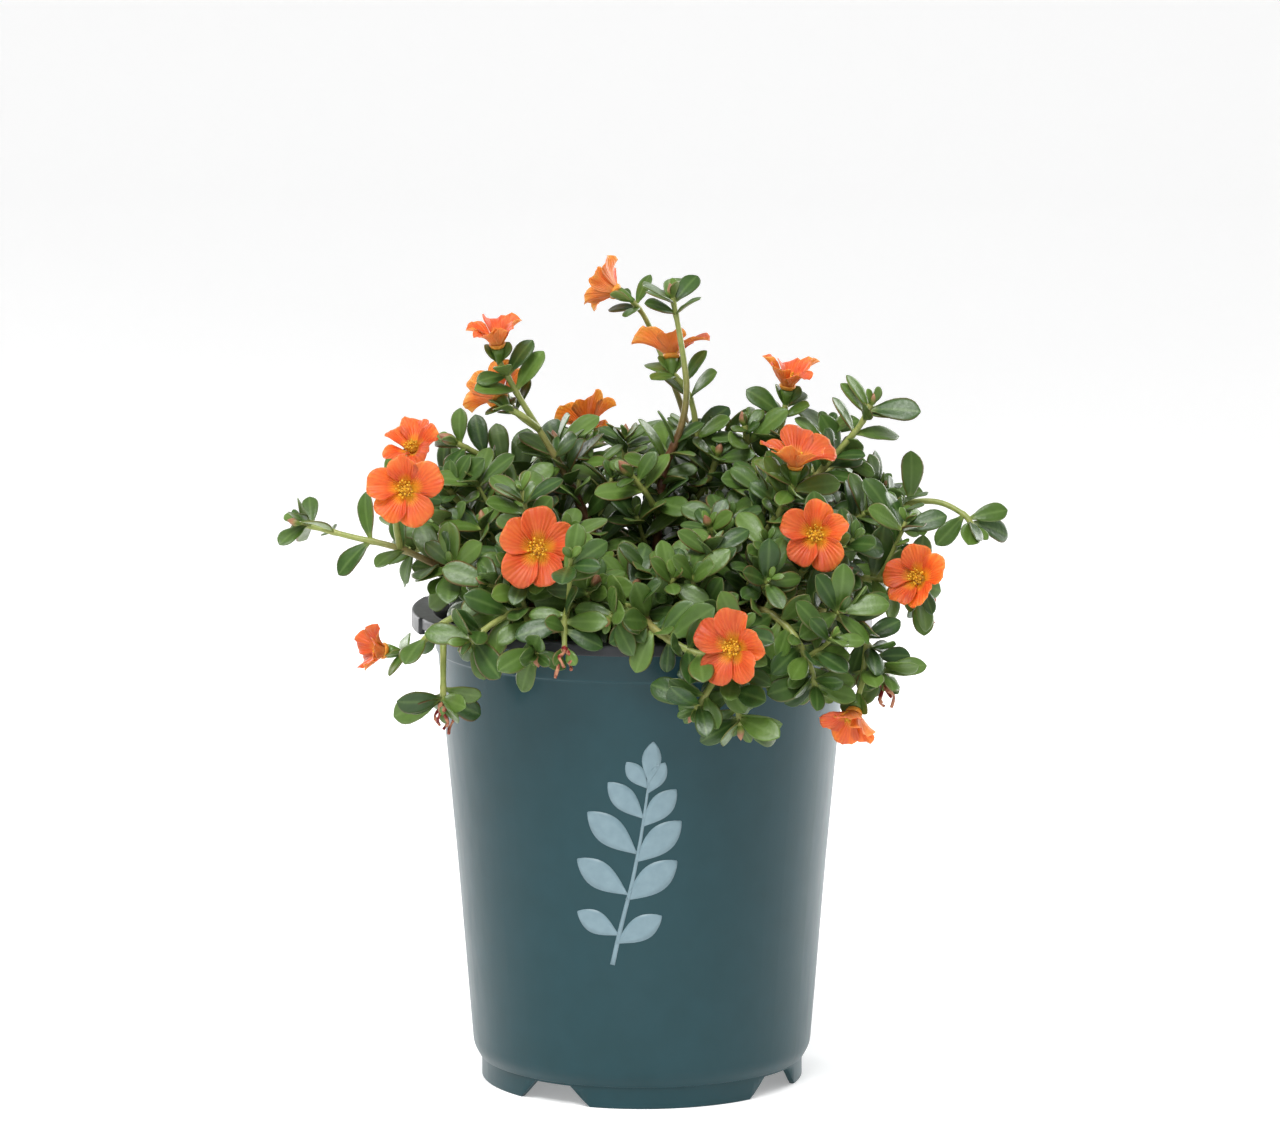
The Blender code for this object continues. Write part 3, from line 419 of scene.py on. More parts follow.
def pot_grid(outline, angles):
    """The outline turned round the axis, one ring of points for each of its own points."""
    radius = np.repeat(outline[:, :1], len(angles), 1)
    height = np.repeat(outline[:, 1:], len(angles), 1)
    on_skirt = (radius > RIM_RADIUS - SKIRT_THICK - NEAR) * (height > skirt_foot - NEAR)
    grip = grip_share(angles)[None] * on_skirt
    outer = radius > RIM_RADIUS - SKIRT_THICK / 2
    lower = height < skirt_foot + 0.6
    radius = radius + GRIP_PROUD * grip * outer
    height = height - GRIP_EXTRA_DEPTH * grip * lower
    in_foot = (outline[:, 1:] < NOTCH_HEIGHT) & (outline[:, :1] > FOOT_RADIUS - FOOT_WALL - NEAR)
    height = np.where(in_foot, np.maximum(height, notch_rise(angles)[None]), height)
    return np.stack([radius * np.cos(angles), radius * np.sin(angles), height], -1)


# %% [markdown]
# The plastic is dark grey, and the body under the skirt is teal. The teal has a very faint mottle, as
# moulded plastic does, and fine scuffs that change its gloss a little.

# %% Finishes of the pot
def moulded_plastic(name, dark, light, roughness):
    """A satin plastic between two close colours, with a fine grain in its relief."""
    made, tree, shader = finish(name, roughness, 0.30)
    mottle = noise(tree, 90.0, 5.0)
    scuffs = noise(tree, 260.0, 2.0, (1, 1, 0.3))
    paint(tree, shader, mixed(tree, spread(tree, mottle, 0.3, 0.7), dark, light))
    gloss = spread(tree, scuffs, 0.35, 0.75, roughness - 0.02, roughness + 0.03)
    tree.links.new(gloss, shader.inputs["Roughness"])
    emboss(tree, shader, noise(tree, 1800.0, 2.0), 0.00003, 0.5)
    return made


teal_plastic = moulded_plastic("teal_plastic", screen(17, 56, 62), screen(20, 59, 66), 0.36)
grey_plastic = moulded_plastic("grey_plastic", screen(40, 42, 45), screen(52, 54, 57), 0.42)
print("finishes:", teal_plastic.name, "and", grey_plastic.name)

# %% [markdown]
# Holes don't follow the rings of a turned grid, so the four drain holes are cut afterwards. Four round
# drills stand through the floor, and a Boolean modifier takes them away. Its result is then made the
# pot's own mesh, because the piece is kept with nothing left to work out.

# %% The pot, with its drain holes cut through the floor
DRILL_SIDES = 32
DRILL_REACH = 3


def make_pot():
    """The outline's grid, closed at both poles. Its faces below the collar are teal, the rest grey."""
    points = pot_grid(pot_outline, pot_angles)
    rows, columns = points.shape[:2]
    faces = flipped(closed_tube(rows, columns))
    neck = rows - len(supported(rounded(outside_and_foot)))
    teal = np.zeros(len(faces), int)
    teal[neck * columns:(rows - 1) * columns] = 1
    under = FOOT_HEIGHT + 1
    heap = Heap()
    heap.add(points.reshape(1, -1, 3), faces, teal)
    pot = heap.piece("pot_moulded", [grey_plastic, teal_plastic])
    drills = Heap()
    turn = full_turn(DRILL_SIDES)
    heights = (under - DRILL_REACH, FLOOR_TOP + DRILL_REACH)
    for angle in NOTCH_ANGLES:
        ring = np.stack([DRAIN_RADIUS * np.cos(turn), DRAIN_RADIUS * np.sin(turn), 0 * turn], -1)
        centre = np.array([DRAIN_PLACE * cos(angle), DRAIN_PLACE * sin(angle), 0])
        ends = [centre + ring + (0, 0, height) for height in heights]
        drills.add(np.concatenate(ends)[None], closed_tube(2, DRILL_SIDES))
    cutter = drills.piece("drain_drills", [])
    cut = pot.modifiers.new("drain holes", "BOOLEAN")
    cut.operation = "DIFFERENCE"
    cut.object = cutter
    view = bpy.context.evaluated_depsgraph_get()
    pot.data = bpy.data.meshes.new_from_object(pot.evaluated_get(view))
    pot.modifiers.clear()
    bpy.data.objects.remove(cutter, do_unlink=True)
    return pot


pot = make_pot()
dress(pot, "pot_plastic", "pot")

# %% [markdown]
# A plain sprig of leaves is printed on the front of the pot in light blue-grey ink, as a nursery pot
# often has. It is a film a tenth of a millimetre proud of the wall: each leaf is a flat grid in print
# coordinates, arc length and height, which are then wrapped on the cone.

# %% Print coordinates, and shapes printed in them
PRINT_MIDDLE = (-1.5, 92.0)
PRINT_PROUD = 0.10
PRINT_SUNK = 0.05


def wall_radius(height):
    """The wall's outer radius at a height: straight from heel to waist and from waist to collar."""
    heights = [HEEL_HEIGHT, WAIST_HEIGHT, COLLAR_FOOT]
    return np.interp(height, heights, [HEEL_RADIUS, WAIST_RADIUS, NECK_RADIUS])


def wrapped(flat, proud):
    """Print coordinates to a place on the wall's front: arc length becomes an angle round the axis."""
    height = flat[..., 1] + PRINT_MIDDLE[1]
    wall = wall_radius(height)
    angle = -pi / 2 + (flat[..., 0] + PRINT_MIDDLE[0]) / wall
    radius = wall + proud
    return np.stack([radius * np.cos(angle), radius * np.sin(angle), height], -1)


def printed(heap, flat):
    """A flat grid as a thin closed film, its outer side first."""
    rows, columns = flat.shape[:2]
    outer = wrapped(flat, PRINT_PROUD).reshape(-1, 3)
    inner = wrapped(flat, -PRINT_SUNK).reshape(-1, 3)
    heap.add(np.concatenate([outer, inner])[None], closed_sheet(rows, columns))


def print_leaf(root, heading, length, width):
    """A leaf: its edges leave the root, swell as a sine of the way along and meet at the tip."""
    u = np.linspace(0, 1, 15)[:, None]
    v = np.linspace(-1, 1, 5)[None]
    out = np.array([sin(heading), cos(heading)])
    side = np.array([out[1], -out[0]])
    half = width / 2 * (0.05 + np.sin(pi * u ** 1.25) ** 0.85)
    return root + (length * u)[..., None] * out + (half * v)[..., None] * side


def print_stem(points, width):
    """A ribbon along a smooth line through its points."""
    line = np.array(points, float)
    t = np.linspace(0, len(line) - 1, 25)
    path = np.stack([np.interp(t, range(len(line)), line[:, k]) for k in range(2)], -1)
    path[1:-1] = (path[:-2] + 2 * path[1:-1] + path[2:]) / 4
    heading = np.gradient(path, axis=0)
    side = np.stack([heading[:, 1], -heading[:, 0]], -1) / np.hypot(*heading.T)[:, None]
    taper = np.linspace(1, 0.45, len(path))[:, None]
    return path[:, None] + side[:, None] * (np.array([-1, 1]) * width / 2)[None, :, None] * taper[:, None]


print("wall radius behind the print:", round(float(wall_radius(PRINT_MIDDLE[1])), 1), "mm")

# %% The sprig: a stalk, and leaves by root, heading in degrees, length and width
SPRIG_STALK = [(-9, -38), (-6, -24), (-2, -8), (1, 8), (3, 22), (4, 30)]
STALK_WIDTH = 1.7
SPRIG_LEAVES = [
    ((-7.6, -30), 58, 19, 8.5),
    ((-6.8, -27), -62, 17, 8.0),
    ((-4.2, -14), 52, 23, 10.0),
    ((-3.6, -12), -56, 22, 9.5),
    ((-0.9, 0), 48, 22, 9.5),
    ((-0.3, 3), -50, 23, 10.0),
    ((1.6, 13), 42, 18, 8.0),
    ((2.0, 16), -44, 18, 8.0),
    ((3.2, 25), 30, 13, 6.0),
    ((3.4, 27), -38, 12, 6.0),
    ((4, 29), 6, 15, 6.5),
]
ink, ink_tree, ink_shader = finish("print_ink", 0.42)
paint(ink_tree, ink_shader, mixed(ink_tree, spread(ink_tree, noise(ink_tree, 300.0), 0.3, 0.7),
                                  screen(108, 132, 141), screen(117, 141, 150)))
sprig = Heap()
printed(sprig, print_stem(SPRIG_STALK, STALK_WIDTH))
for root, turn, length, width in SPRIG_LEAVES:
    printed(sprig, print_leaf(np.array(root), radians(turn), length, width))
dress(sprig.piece("pot_printed_sprig", [ink]), "pot_plastic")

# %% [markdown]
# Potting soil is peat and bark: a lumpy dark surface with loose crumbs on it and a few white grains of
# perlite. The lumps are waves of several directions added up, and the crumbs are one rough twelve-
# pointed pebble, copied with its own size, turn and place for each.

# %% The soil's finish and its lumpy surface
SOIL_TOP = 158.0
SOIL_RADIUS = NECK_RADIUS - WALL - 0.6
SOIL_COLUMNS = 96
SOIL_RINGS = 40
LUMP_WAVES = 8
LUMP_LENGTH = 34
LUMP_HEIGHT = 0.42

peat, peat_tree, peat_shader = finish("peat", 0.95, 0.2)
grain = noise(peat_tree, 420.0, 6.0)
peat_colour = mixed(peat_tree, spread(peat_tree, grain, 0.35, 0.7), screen(26, 20, 16), screen(74, 58, 44))
paint(peat_tree, peat_shader, mixed(peat_tree, attribute(peat_tree, "perlite"), peat_colour,
                                    screen(205, 200, 190)))
emboss(peat_tree, peat_shader, grain, 0.0012)


def soil_lumps(x, y):
    """Height of the soil's surface: a gentle dome and eight waves of falling length and height."""
    draw = np.random.default_rng(5)
    height = SOIL_TOP + 0.5 - 0.0003 * (x * x + y * y)
    for k in range(LUMP_WAVES):
        heading = draw.uniform(0, 2 * pi)
        length = LUMP_LENGTH / 1.35 ** k
        phase = draw.uniform(0, 2 * pi)
        wave = (x * cos(heading) + y * sin(heading)) / length * 6 + phase
        height = height + LUMP_HEIGHT / 1.15 ** k * np.sin(wave)
    return np.minimum(height, SOIL_TOP + 1.5)


print("soil in the middle:", round(float(soil_lumps(0.0, 0.0)), 1), "mm above the ground")

# %% The body of soil, and crumbs strewn on it
CRUMBS = 1500
CRUMB_SMALLEST = 0.25
CRUMB_RANGE = 1.9
PERLITE_SHARE = 0.035


def soil_body(heap):
    """Rings on the lumpy surface from the middle out, then down the pot's wall and in along its floor."""
    turn = full_turn(SOIL_COLUMNS)
    radius = np.concatenate([[POLE], np.linspace(2, SOIL_RADIUS, SOIL_RINGS)])
    x = radius[:, None] * np.cos(turn)
    y = radius[:, None] * np.sin(turn)
    top = np.stack([x, y, soil_lumps(x, y)], -1)
    wall = [(SOIL_RADIUS, SOIL_TOP - 4), (NECK_RADIUS - WALL - 0.7, COLLAR_FOOT - 2),
            (WAIST_RADIUS - WALL - 0.6, WAIST_HEIGHT), (HEEL_RADIUS - WALL - 0.6, HEEL_HEIGHT + 0.3),
            (HEEL_RADIUS - 4.2, FLOOR_TOP + 0.3), (POLE, FLOOR_TOP + 0.3)]
    rings = [[[r * cos(a), r * sin(a), z] for a in turn] for r, z in wall]
    points = np.concatenate([top, rings])
    heap.add(points.reshape(1, -1, 3), flipped(closed_tube(len(points), SOIL_COLUMNS)), perlite=0.0)


def pebble_shape():
    """An icosahedron: twelve corners on three golden rectangles, and a face for each three neighbours."""
    golden = (1 + 5 ** 0.5) / 2
    pebble = np.array([(0, a, b * golden) for a in (-1, 1) for b in (-1, 1)])
    pebble = np.concatenate([pebble, np.roll(pebble, 1, 1), np.roll(pebble, 2, 1)])
    apart = np.linalg.norm(pebble[:, None] - pebble[None], axis=-1)
    near = np.abs(apart - 2) < 0.01
    corners = [(a, b, c) for a in range(12) for b in range(a) for c in range(b)
               if near[a, b] and near[b, c] and near[a, c]]
    outward = [np.dot(np.cross(pebble[b] - pebble[a], pebble[c] - pebble[a]), pebble[a]) > 0
               for a, b, c in corners]
    triangles = [(a, b, c, -1) if out else (c, b, a, -1)
                 for (a, b, c), out in zip(corners, outward)]
    return pebble, np.array(triangles)


def soil_crumbs(heap):
    """Pebbles, each with its own size, stretch, turn and place, and a few of them white perlite."""
    pebble, triangles = pebble_shape()
    draw = np.random.default_rng(8)
    size = draw.uniform(0.35, 1.0, CRUMBS) ** 2 * CRUMB_RANGE + CRUMB_SMALLEST
    far = np.sqrt(draw.uniform(0, 1, CRUMBS)) * (SOIL_RADIUS - 3)
    way = draw.uniform(0, 2 * pi, CRUMBS)
    spot = np.stack([far * np.cos(way), far * np.sin(way)], -1)
    shape = pebble / 1.9 * draw.uniform(0.6, 1.25, (CRUMBS, 12, 1)) * draw.uniform(0.5, 1.3, (CRUMBS, 1, 3))
    turned, _ = np.linalg.qr(draw.normal(size=(CRUMBS, 3, 3)))
    turned *= np.sign(np.linalg.det(turned))[:, None, None]
    shape = shape @ turned * size[:, None, None]
    lift = soil_lumps(spot[:, 0], spot[:, 1]) + 0.15 * size
    shape += np.concatenate([spot, lift[:, None]], -1)[:, None]
    white = (draw.uniform(0, 1, CRUMBS) < PERLITE_SHARE).astype(float)
    heap.add(shape, triangles, perlite=white[:, None])


soil = Heap()
soil_body(soil)
soil_crumbs(soil)
dress(soil.piece("soil_crumbly", [peat]), "potting_soil", "soil")

# %% [markdown]
# The plant grows by rule, and the rule is the one that made the solids, so every fine leaf lies where
# its coarse one does. Each stem is a list of runs, chosen from the photograph: where it roots
# in the soil, the points that it passes, and what ends it. A bloom's aim is the way it faces, and its
# cup goes from 0, a narrow trumpet, to 1, wide open. A whorl is the leaves at the tip, and pairs stand
# below it.

# %% A run of a stem
def run(points, end, aim=(0, 0, 1), size=1.0, cup=0.5, whorl=3, pairs=0):
    """One length of stem: its points from fork to tip, what ends it, and how many leaves it has."""
    return {"points": points, "end": end, "aim": aim, "size": size, "cup": cup, "whorl": whorl,
            "pairs": pairs}


print("a run has", ", ".join(run([], "whorl")))

# %% Stems on the left and at the top
STEMS = {
    "stem_left_long": ((-22, -10), [
        run([(-36, -19, 174), (-51, -28, 183), (-67, -34, 190), (-86, -36, 199), (-104, -33, 203),
             (-121, -30, 207)], "whorl", whorl=4, pairs=3),
        run([(-86, -36, 199), (-87, -42, 212), (-82, -46, 221)], "bloom", (-0.15, -0.95, 0.22), cup=0.85,
            whorl=2),
        run([(-51, -28, 183), (-56, -26, 196), (-57, -26, 206)], "whorl")]),
    "stem_left_bud": ((-16, 14), [
        run([(-22, 14, 184), (-36, 13, 207), (-46, 12, 219), (-58, 9, 226), (-67, 6, 231)], "bud",
            pairs=1),
        run([(-36, 13, 207), (-58, 20, 209), (-73, 19, 216), (-81, 15, 222)], "bloom",
            (-0.25, -0.55, 0.8), size=0.9, cup=0.6, whorl=2, pairs=1)]),
    "stem_left_mid": ((-28, 2), [
        run([(-38, -3, 178), (-50, -7, 194), (-63, -12, 209), (-69, -14, 217)], "whorl", whorl=4),
        run([(-50, -7, 194), (-46, -14, 206), (-45, -18, 215)], "whorl"),
        run([(-38, -3, 178), (-58, 4, 186), (-74, 6, 192), (-84, 6, 192)], "whorl", whorl=4)]),
    "stem_upper_left": ((-8, 2), [
        run([(-13, 0, 186), (-20, -3, 205), (-28, -5, 222), (-37, -8, 238), (-44, -10, 250),
             (-51, -12, 263)], "bloom", (-0.1, -0.22, 0.95), size=0.95, cup=0.3, pairs=1),
        run([(-37, -8, 238), (-42, -13, 243), (-48, -13, 246)], "bloom", (-0.42, 0.75, 0.5),
            size=0.95, cup=0.35, whorl=2),
        run([(-37, -8, 238), (-44, -1, 242), (-48, 2, 247)], "whorl", size=0.8),
        run([(-20, -3, 205), (-28, 5, 219), (-31, 8, 230)], "whorl")]),
    "stem_top_centre": ((3, 4), [
        run([(5, 4, 186), (6, 2, 205), (8, 0, 222), (14, -2, 238), (16, -4, 252), (14, -6, 269),
             (11, -6, 285)], "whorl", whorl=4),
        run([(5, 4, 186), (-3, 10, 204), (-6, 14, 220), (-6, 16, 231)], "whorl"),
        run([(6, 2, 205), (2, -8, 214), (-4, -12, 222)], "bud", size=0.8)]),
    "stem_top_back": ((10, 14), [
        run([(14, 14, 186), (17, 13, 206), (19, 12, 226), (19, 11, 240), (16, 10, 250), (11, 9, 256)],
            "bloom", (-0.05, 0.35, 0.93), cup=0.55, pairs=2),
        run([(19, 12, 226), (14, 25, 243), (7, 31, 260), (1, 28, 274), (-4, 23, 281)], "bloom",
            (-0.82, 0.35, 0.38), size=0.85, cup=0.35),
        run([(17, 13, 206), (24, 8, 217), (27, 6, 226)], "whorl")]),
}
print(len(STEMS), "stems on the left and at the top")

# %% Stems on the right
STEMS.update({
    "stem_right_top": ((20, 12), [
        run([(27, 14, 182), (36, 14, 200), (45, 15, 218), (50, 16, 233), (52, 16, 244)], "bloom",
            (0.1, -0.12, 0.98), cup=0.35, pairs=1),
        run([(45, 15, 218), (39, 10, 228), (37, 8, 237)], "whorl", size=0.8)]),
    "stem_right_sprig": ((23, 2), [
        run([(31, 2, 178), (43, 1, 196), (56, 0, 212), (68, -1, 226), (78, -2, 238), (82, -3, 246)],
            "whorl", whorl=4, pairs=1),
        run([(56, 0, 212), (64, 8, 225), (66, 12, 235)], "whorl")]),
    "stem_right_flower": ((11, -10), [
        run([(20, -17, 177), (31, -25, 189), (43, -32, 203), (51, -36, 216), (54, -38, 223)], "bloom",
            (0.05, -0.22, 0.95), size=1.1, cup=0.6, whorl=4),
        run([(31, -25, 189), (27, -34, 199), (24, -38, 207)], "whorl", size=0.8),
        run([(20, -17, 177), (33, -11, 192), (46, -13, 207), (54, -15, 217)], "whorl")]),
    "stem_right_mid": ((31, 10), [
        run([(42, 17, 178), (58, 23, 192), (73, 24, 204), (86, 22, 212)], "whorl", whorl=4, pairs=1),
        run([(58, 23, 192), (62, 30, 207), (64, 34, 218)], "whorl")]),
    "stem_right_long": ((31, -5), [
        run([(44, -2, 175), (59, 1, 188), (76, 4, 200), (92, 6, 208), (106, 3, 210), (116, -2, 206),
             (119, -4, 202)], "whorl", whorl=4),
        run([(59, 1, 188), (70, -8, 200), (80, -12, 208)], "whorl", whorl=4)]),
    "stem_front_right": ((18, -24), [
        run([(29, -32, 172), (42, -41, 179), (53, -48, 188), (60, -53, 199), (62, -56, 206)], "bloom",
            (-0.1, -0.93, 0.3), size=0.95, cup=0.8, whorl=2),
        run([(42, -41, 179), (58, -42, 185), (70, -43, 191)], "whorl")]),
    "stem_right_low_flower": ((27, -14), [
        run([(40, -18, 173), (58, -21, 183), (74, -27, 187), (91, -34, 187), (100, -39, 187)], "bloom",
            (-0.3, -0.88, 0.38), size=0.95, cup=0.75, pairs=1),
        run([(74, -27, 187), (88, -22, 187), (100, -22, 181)], "whorl")]),
    "stem_right_hanging": ((27, -34), [
        run([(39, -46, 174), (54, -57, 181), (68, -63, 179), (79, -65, 170), (85, -66, 158)], "whorl",
            whorl=4, pairs=1),
        run([(79, -65, 170), (78, -71, 160), (76, -74, 153)], "bloom", (-0.25, -0.5, -0.82),
            size=0.9, cup=0.45, whorl=0)]),
})
print(len(STEMS), "stems with those on the right")

# %% Stems in front, which hang over the rim
STEMS.update({
    "stem_front_flower": ((3, -34), [
        run([(2, -48, 174), (1, -66, 181), (3, -82, 179), (14, -91, 173), (26, -95, 170), (35, -96, 173)],
            "bloom", (-0.4, -0.88, 0.2), cup=0.8, whorl=0),
        run([(1, -66, 181), (-6, -77, 185), (-11, -83, 182)], "whorl")]),
    "stem_front_hanging": ((12, -36), [
        run([(16, -50, 175), (20, -66, 182), (25, -80, 180), (30, -88, 169), (33, -92, 156),
             (34, -93, 146)], "whorl", whorl=4),
        run([(30, -88, 169), (24, -94, 160), (19, -96, 152)], "whorl"),
        run([(20, -66, 182), (24, -62, 193), (24, -60, 202)], "whorl")]),
    "stem_front_buds": ((-9, -26), [
        run([(-15, -38, 172), (-19, -52, 179), (-19, -63, 185), (-17, -70, 191)], "bud", whorl=5),
        run([(-19, -52, 179), (-25, -68, 184), (-27, -80, 180), (-27, -88, 172)], "bud", whorl=0, pairs=1),
        run([(-15, -38, 172), (-8, -50, 180), (-3, -56, 188)], "whorl")]),
    "stem_front_left_flower": ((-19, -22), [
        run([(-27, -32, 175), (-34, -45, 184), (-36, -57, 195), (-36, -63, 202)], "bloom",
            (-0.05, -0.96, 0.28), size=1.1, cup=0.9, whorl=2),
        run([(-27, -32, 175), (-39, -38, 187), (-45, -43, 197)], "whorl"),
        run([(-34, -45, 184), (-46, -54, 186), (-54, -58, 190)], "whorl")]),
    "stem_left_low": ((-29, -26), [
        run([(-42, -38, 176), (-57, -50, 180), (-70, -58, 176), (-79, -58, 168), (-85, -56, 165)],
            "bloom", (-0.93, -0.3, 0.15), size=0.8, cup=0.4, whorl=2, pairs=1),
        run([(-70, -58, 176), (-70, -66, 162), (-70, -68, 149)], "whorl", whorl=4)]),
    "stem_left_front": ((-21, -37), [
        run([(-31, -50, 176), (-42, -62, 181), (-52, -70, 178), (-60, -75, 172)], "whorl", whorl=4),
        run([(-42, -62, 181), (-39, -74, 177), (-37, -83, 169)], "whorl")]),
    "stem_front_low_right": ((20, -42), [
        run([(29, -54, 177), (41, -66, 182), (51, -74, 177), (58, -80, 166), (61, -82, 156)], "whorl",
            whorl=4, pairs=1),
        run([(29, -54, 177), (37, -57, 188), (40, -58, 196)], "whorl")]),
})
print(len(STEMS), "stems with those in front")

# %% Stems behind, which are guessed
STEMS.update({
    "stem_back_left": ((-24, 22), [
        run([(-40, 34, 178), (-56, 45, 189), (-72, 53, 192), (-85, 58, 187)], "whorl", whorl=4),
        run([(-40, 34, 178), (-40, 38, 196), (-39, 40, 210)], "whorl"),
        run([(-56, 45, 189), (-70, 37, 202), (-80, 34, 208)], "whorl")]),
    "stem_back_mid_left": ((-9, 30), [
        run([(-14, 48, 176), (-20, 66, 184), (-27, 84, 183), (-31, 95, 172), (-32, 99, 160)], "whorl",
            whorl=4),
        run([(-14, 48, 176), (-16, 46, 196), (-18, 44, 214), (-19, 42, 226)], "bloom",
            (-0.2, 0.55, 0.8), cup=0.7, pairs=1),
        run([(-20, 66, 184), (-30, 68, 196), (-38, 68, 204)], "whorl"),
        run([(-14, 48, 176), (0, 62, 184), (2, 80, 184), (2, 93, 176)], "whorl")]),
    "stem_back_mid_right": ((12, 30), [
        run([(19, 46, 178), (28, 62, 188), (38, 76, 190), (46, 86, 184), (50, 92, 174)], "whorl",
            whorl=4),
        run([(19, 46, 178), (16, 44, 196), (13, 41, 212), (11, 39, 224)], "whorl"),
        run([(28, 62, 188), (24, 72, 200), (20, 78, 208)], "bloom", (0.1, 0.85, 0.5), size=0.95, cup=0.8)]),
    "stem_back_right": ((28, 24), [
        run([(43, 36, 180), (58, 46, 190), (74, 54, 191), (86, 58, 184)], "whorl", whorl=4),
        run([(43, 36, 180), (42, 38, 198), (41, 38, 212)], "whorl"),
        run([(58, 46, 190), (72, 42, 203), (84, 40, 209)], "whorl")]),
})
print(len(STEMS), "stems,", sum(len(lengths) for _, lengths in STEMS.values()), "runs")

# %% [markdown]
# A run's points are joined by a Catmull-Rom curve, which passes through all of them and turns smoothly
# at each, as a growing shoot does.

# %% Paths of the stems
GAP = 0.3
HOLE_DEPTH = 11.0
UPRIGHT = 4.0
ROOT_STEM = 1.9
BRANCH_STEM = 1.4
BRANCH_STEP = 0.08
TIP_STEM = 0.95
PATH_STEP = 2.0
CALYX_LENGTH = 5.0
BUD_LENGTH = 7.5
SEED = 11


def unit(v):
    """The same direction with a length of one."""
    v = np.asarray(v, float)
    return v / np.sqrt((v * v).sum())


def smooth(points, before=None):
    """A Catmull-Rom curve through the points, sampled about every two millimetres."""
    p = np.asarray(points, float)
    first = 2 * p[0] - p[1] if before is None else np.asarray(before, float)
    p = np.vstack([first, p, 2 * p[-1] - p[-2]])
    out = []
    for i in range(1, len(p) - 2):
        a, b, c, d = p[i - 1:i + 3]
        count = max(1, int(round(np.sqrt(((c - b) ** 2).sum()) / PATH_STEP)))
        t = np.arange(count)[:, None] / count
        out.append(0.5 * (2 * b + (c - a) * t + (2 * a - 5 * b + 4 * c - d) * t ** 2
                          + (3 * b - a - 3 * c + d) * t ** 3))
    out.append(p[-2][None])
    return np.vstack(out)


def path_of(root, index, length):
    """A run's fine path. The first run stands upright in the soil before it bends away."""
    if index:
        return smooth(length["points"])
    x, y = root
    surface = SOIL_TOP + UPRIGHT
    foot = SOIL_TOP - HOLE_DEPTH + GAP
    bend = smooth([(x, y, surface)] + length["points"], before=(x, y, surface - 20))
    return np.vstack([[(x, y, foot)], bend])


def end_direction(path):
    """The way a path goes at its tip."""
    return unit(path[-1] - path[-2])


def side_frame(direction):
    """Two unit vectors square to a direction; the first points as far up as it can."""
    up = np.array([0.0, 0.0, 1.0]) if abs(direction[2]) < 0.95 else np.array([0.0, 1.0, 0.0])
    first = unit(up - direction * (up @ direction))
    return first, np.cross(direction, first)


def circle(first, second, turn):
    """Points of a unit circle in the plane of two directions, one for each angle."""
    return first * np.cos(turn)[:, None] + second * np.sin(turn)[:, None]


left_long_root, left_long_runs = STEMS["stem_left_long"]
print("points on the path of the long left stem:", len(path_of(left_long_root, 0, left_long_runs[0])))

# %% [markdown]
# A portulaca leaf is a small fleshy spatula: narrow at its foot, widest past its middle, with a round
# end, a shallow trough along it and a slight droop. A petal is a sector of a flared cup. Both are
# functions of how far along, u, and how far across, v, so any fineness comes from the same formula.

# %% Shapes of a leaf and a petal
LEAF_LENGTH = 17.0
LEAF_WIDTH = 8.0
LEAF_SPACING = 13.0
LEAF_DROOP = 0.16
LEAF_ARCH = 0.05
LEAF_TROUGH = 0.10
LEAF_LIFT = 0.10
LEAF_FAT = 1.2
OWN_LEAF_GAP = 2.3
PETALS = 5
PETAL_LENGTH = 14.0
PETAL_SPREAD = 40.0
PETAL_WAVE = 0.9
PETAL_LAP = 0.9
THROAT_LEAN = (22.0, 48.0)
EDGE_LEAN = (44.0, 88.0)
THROAT_RADIUS = 1.5
THROAT_HEIGHT = 0.8
print("a full leaf:", LEAF_LENGTH, "by", LEAF_WIDTH, "mm, a petal:", PETAL_LENGTH, "mm long")

# %% A leaf's blade
def leaf_points(base, out, face, length, width, rows, columns):
    """A blade's middle surface: a spatula that is widest past its middle and bends gently back."""
    side = np.cross(out, face)
    u = rows[:, None, None]
    v = columns[None, :, None]
    aside = width / 2 * leaf_width(u) * v
    bend = -LEAF_DROOP * length * u ** 2 + LEAF_ARCH * length * u
    trough = LEAF_TROUGH * width * leaf_width(u) * np.abs(v)
    return base + out * length * u + side * aside + face * (bend + trough)


def leaf_width(u):
    """Half width along the leaf, as a share of its greatest: narrow stalk, broad round end."""
    return 0.20 + 0.80 * np.sin(pi * np.clip(u, 0, 1) ** 1.45) ** 0.8


along_leaf = np.linspace(0, 1, 101)
widest = along_leaf[np.argmax(leaf_width(along_leaf))]
print("a leaf is widest", round(float(widest), 2), "of the way along")

# %% A petal, and where blooms sit
def opened(lean, cup):
    """An angle in radians between its value for a narrow trumpet and that for an open cup."""
    narrow, wide = lean
    return radians(narrow + (wide - narrow) * cup)


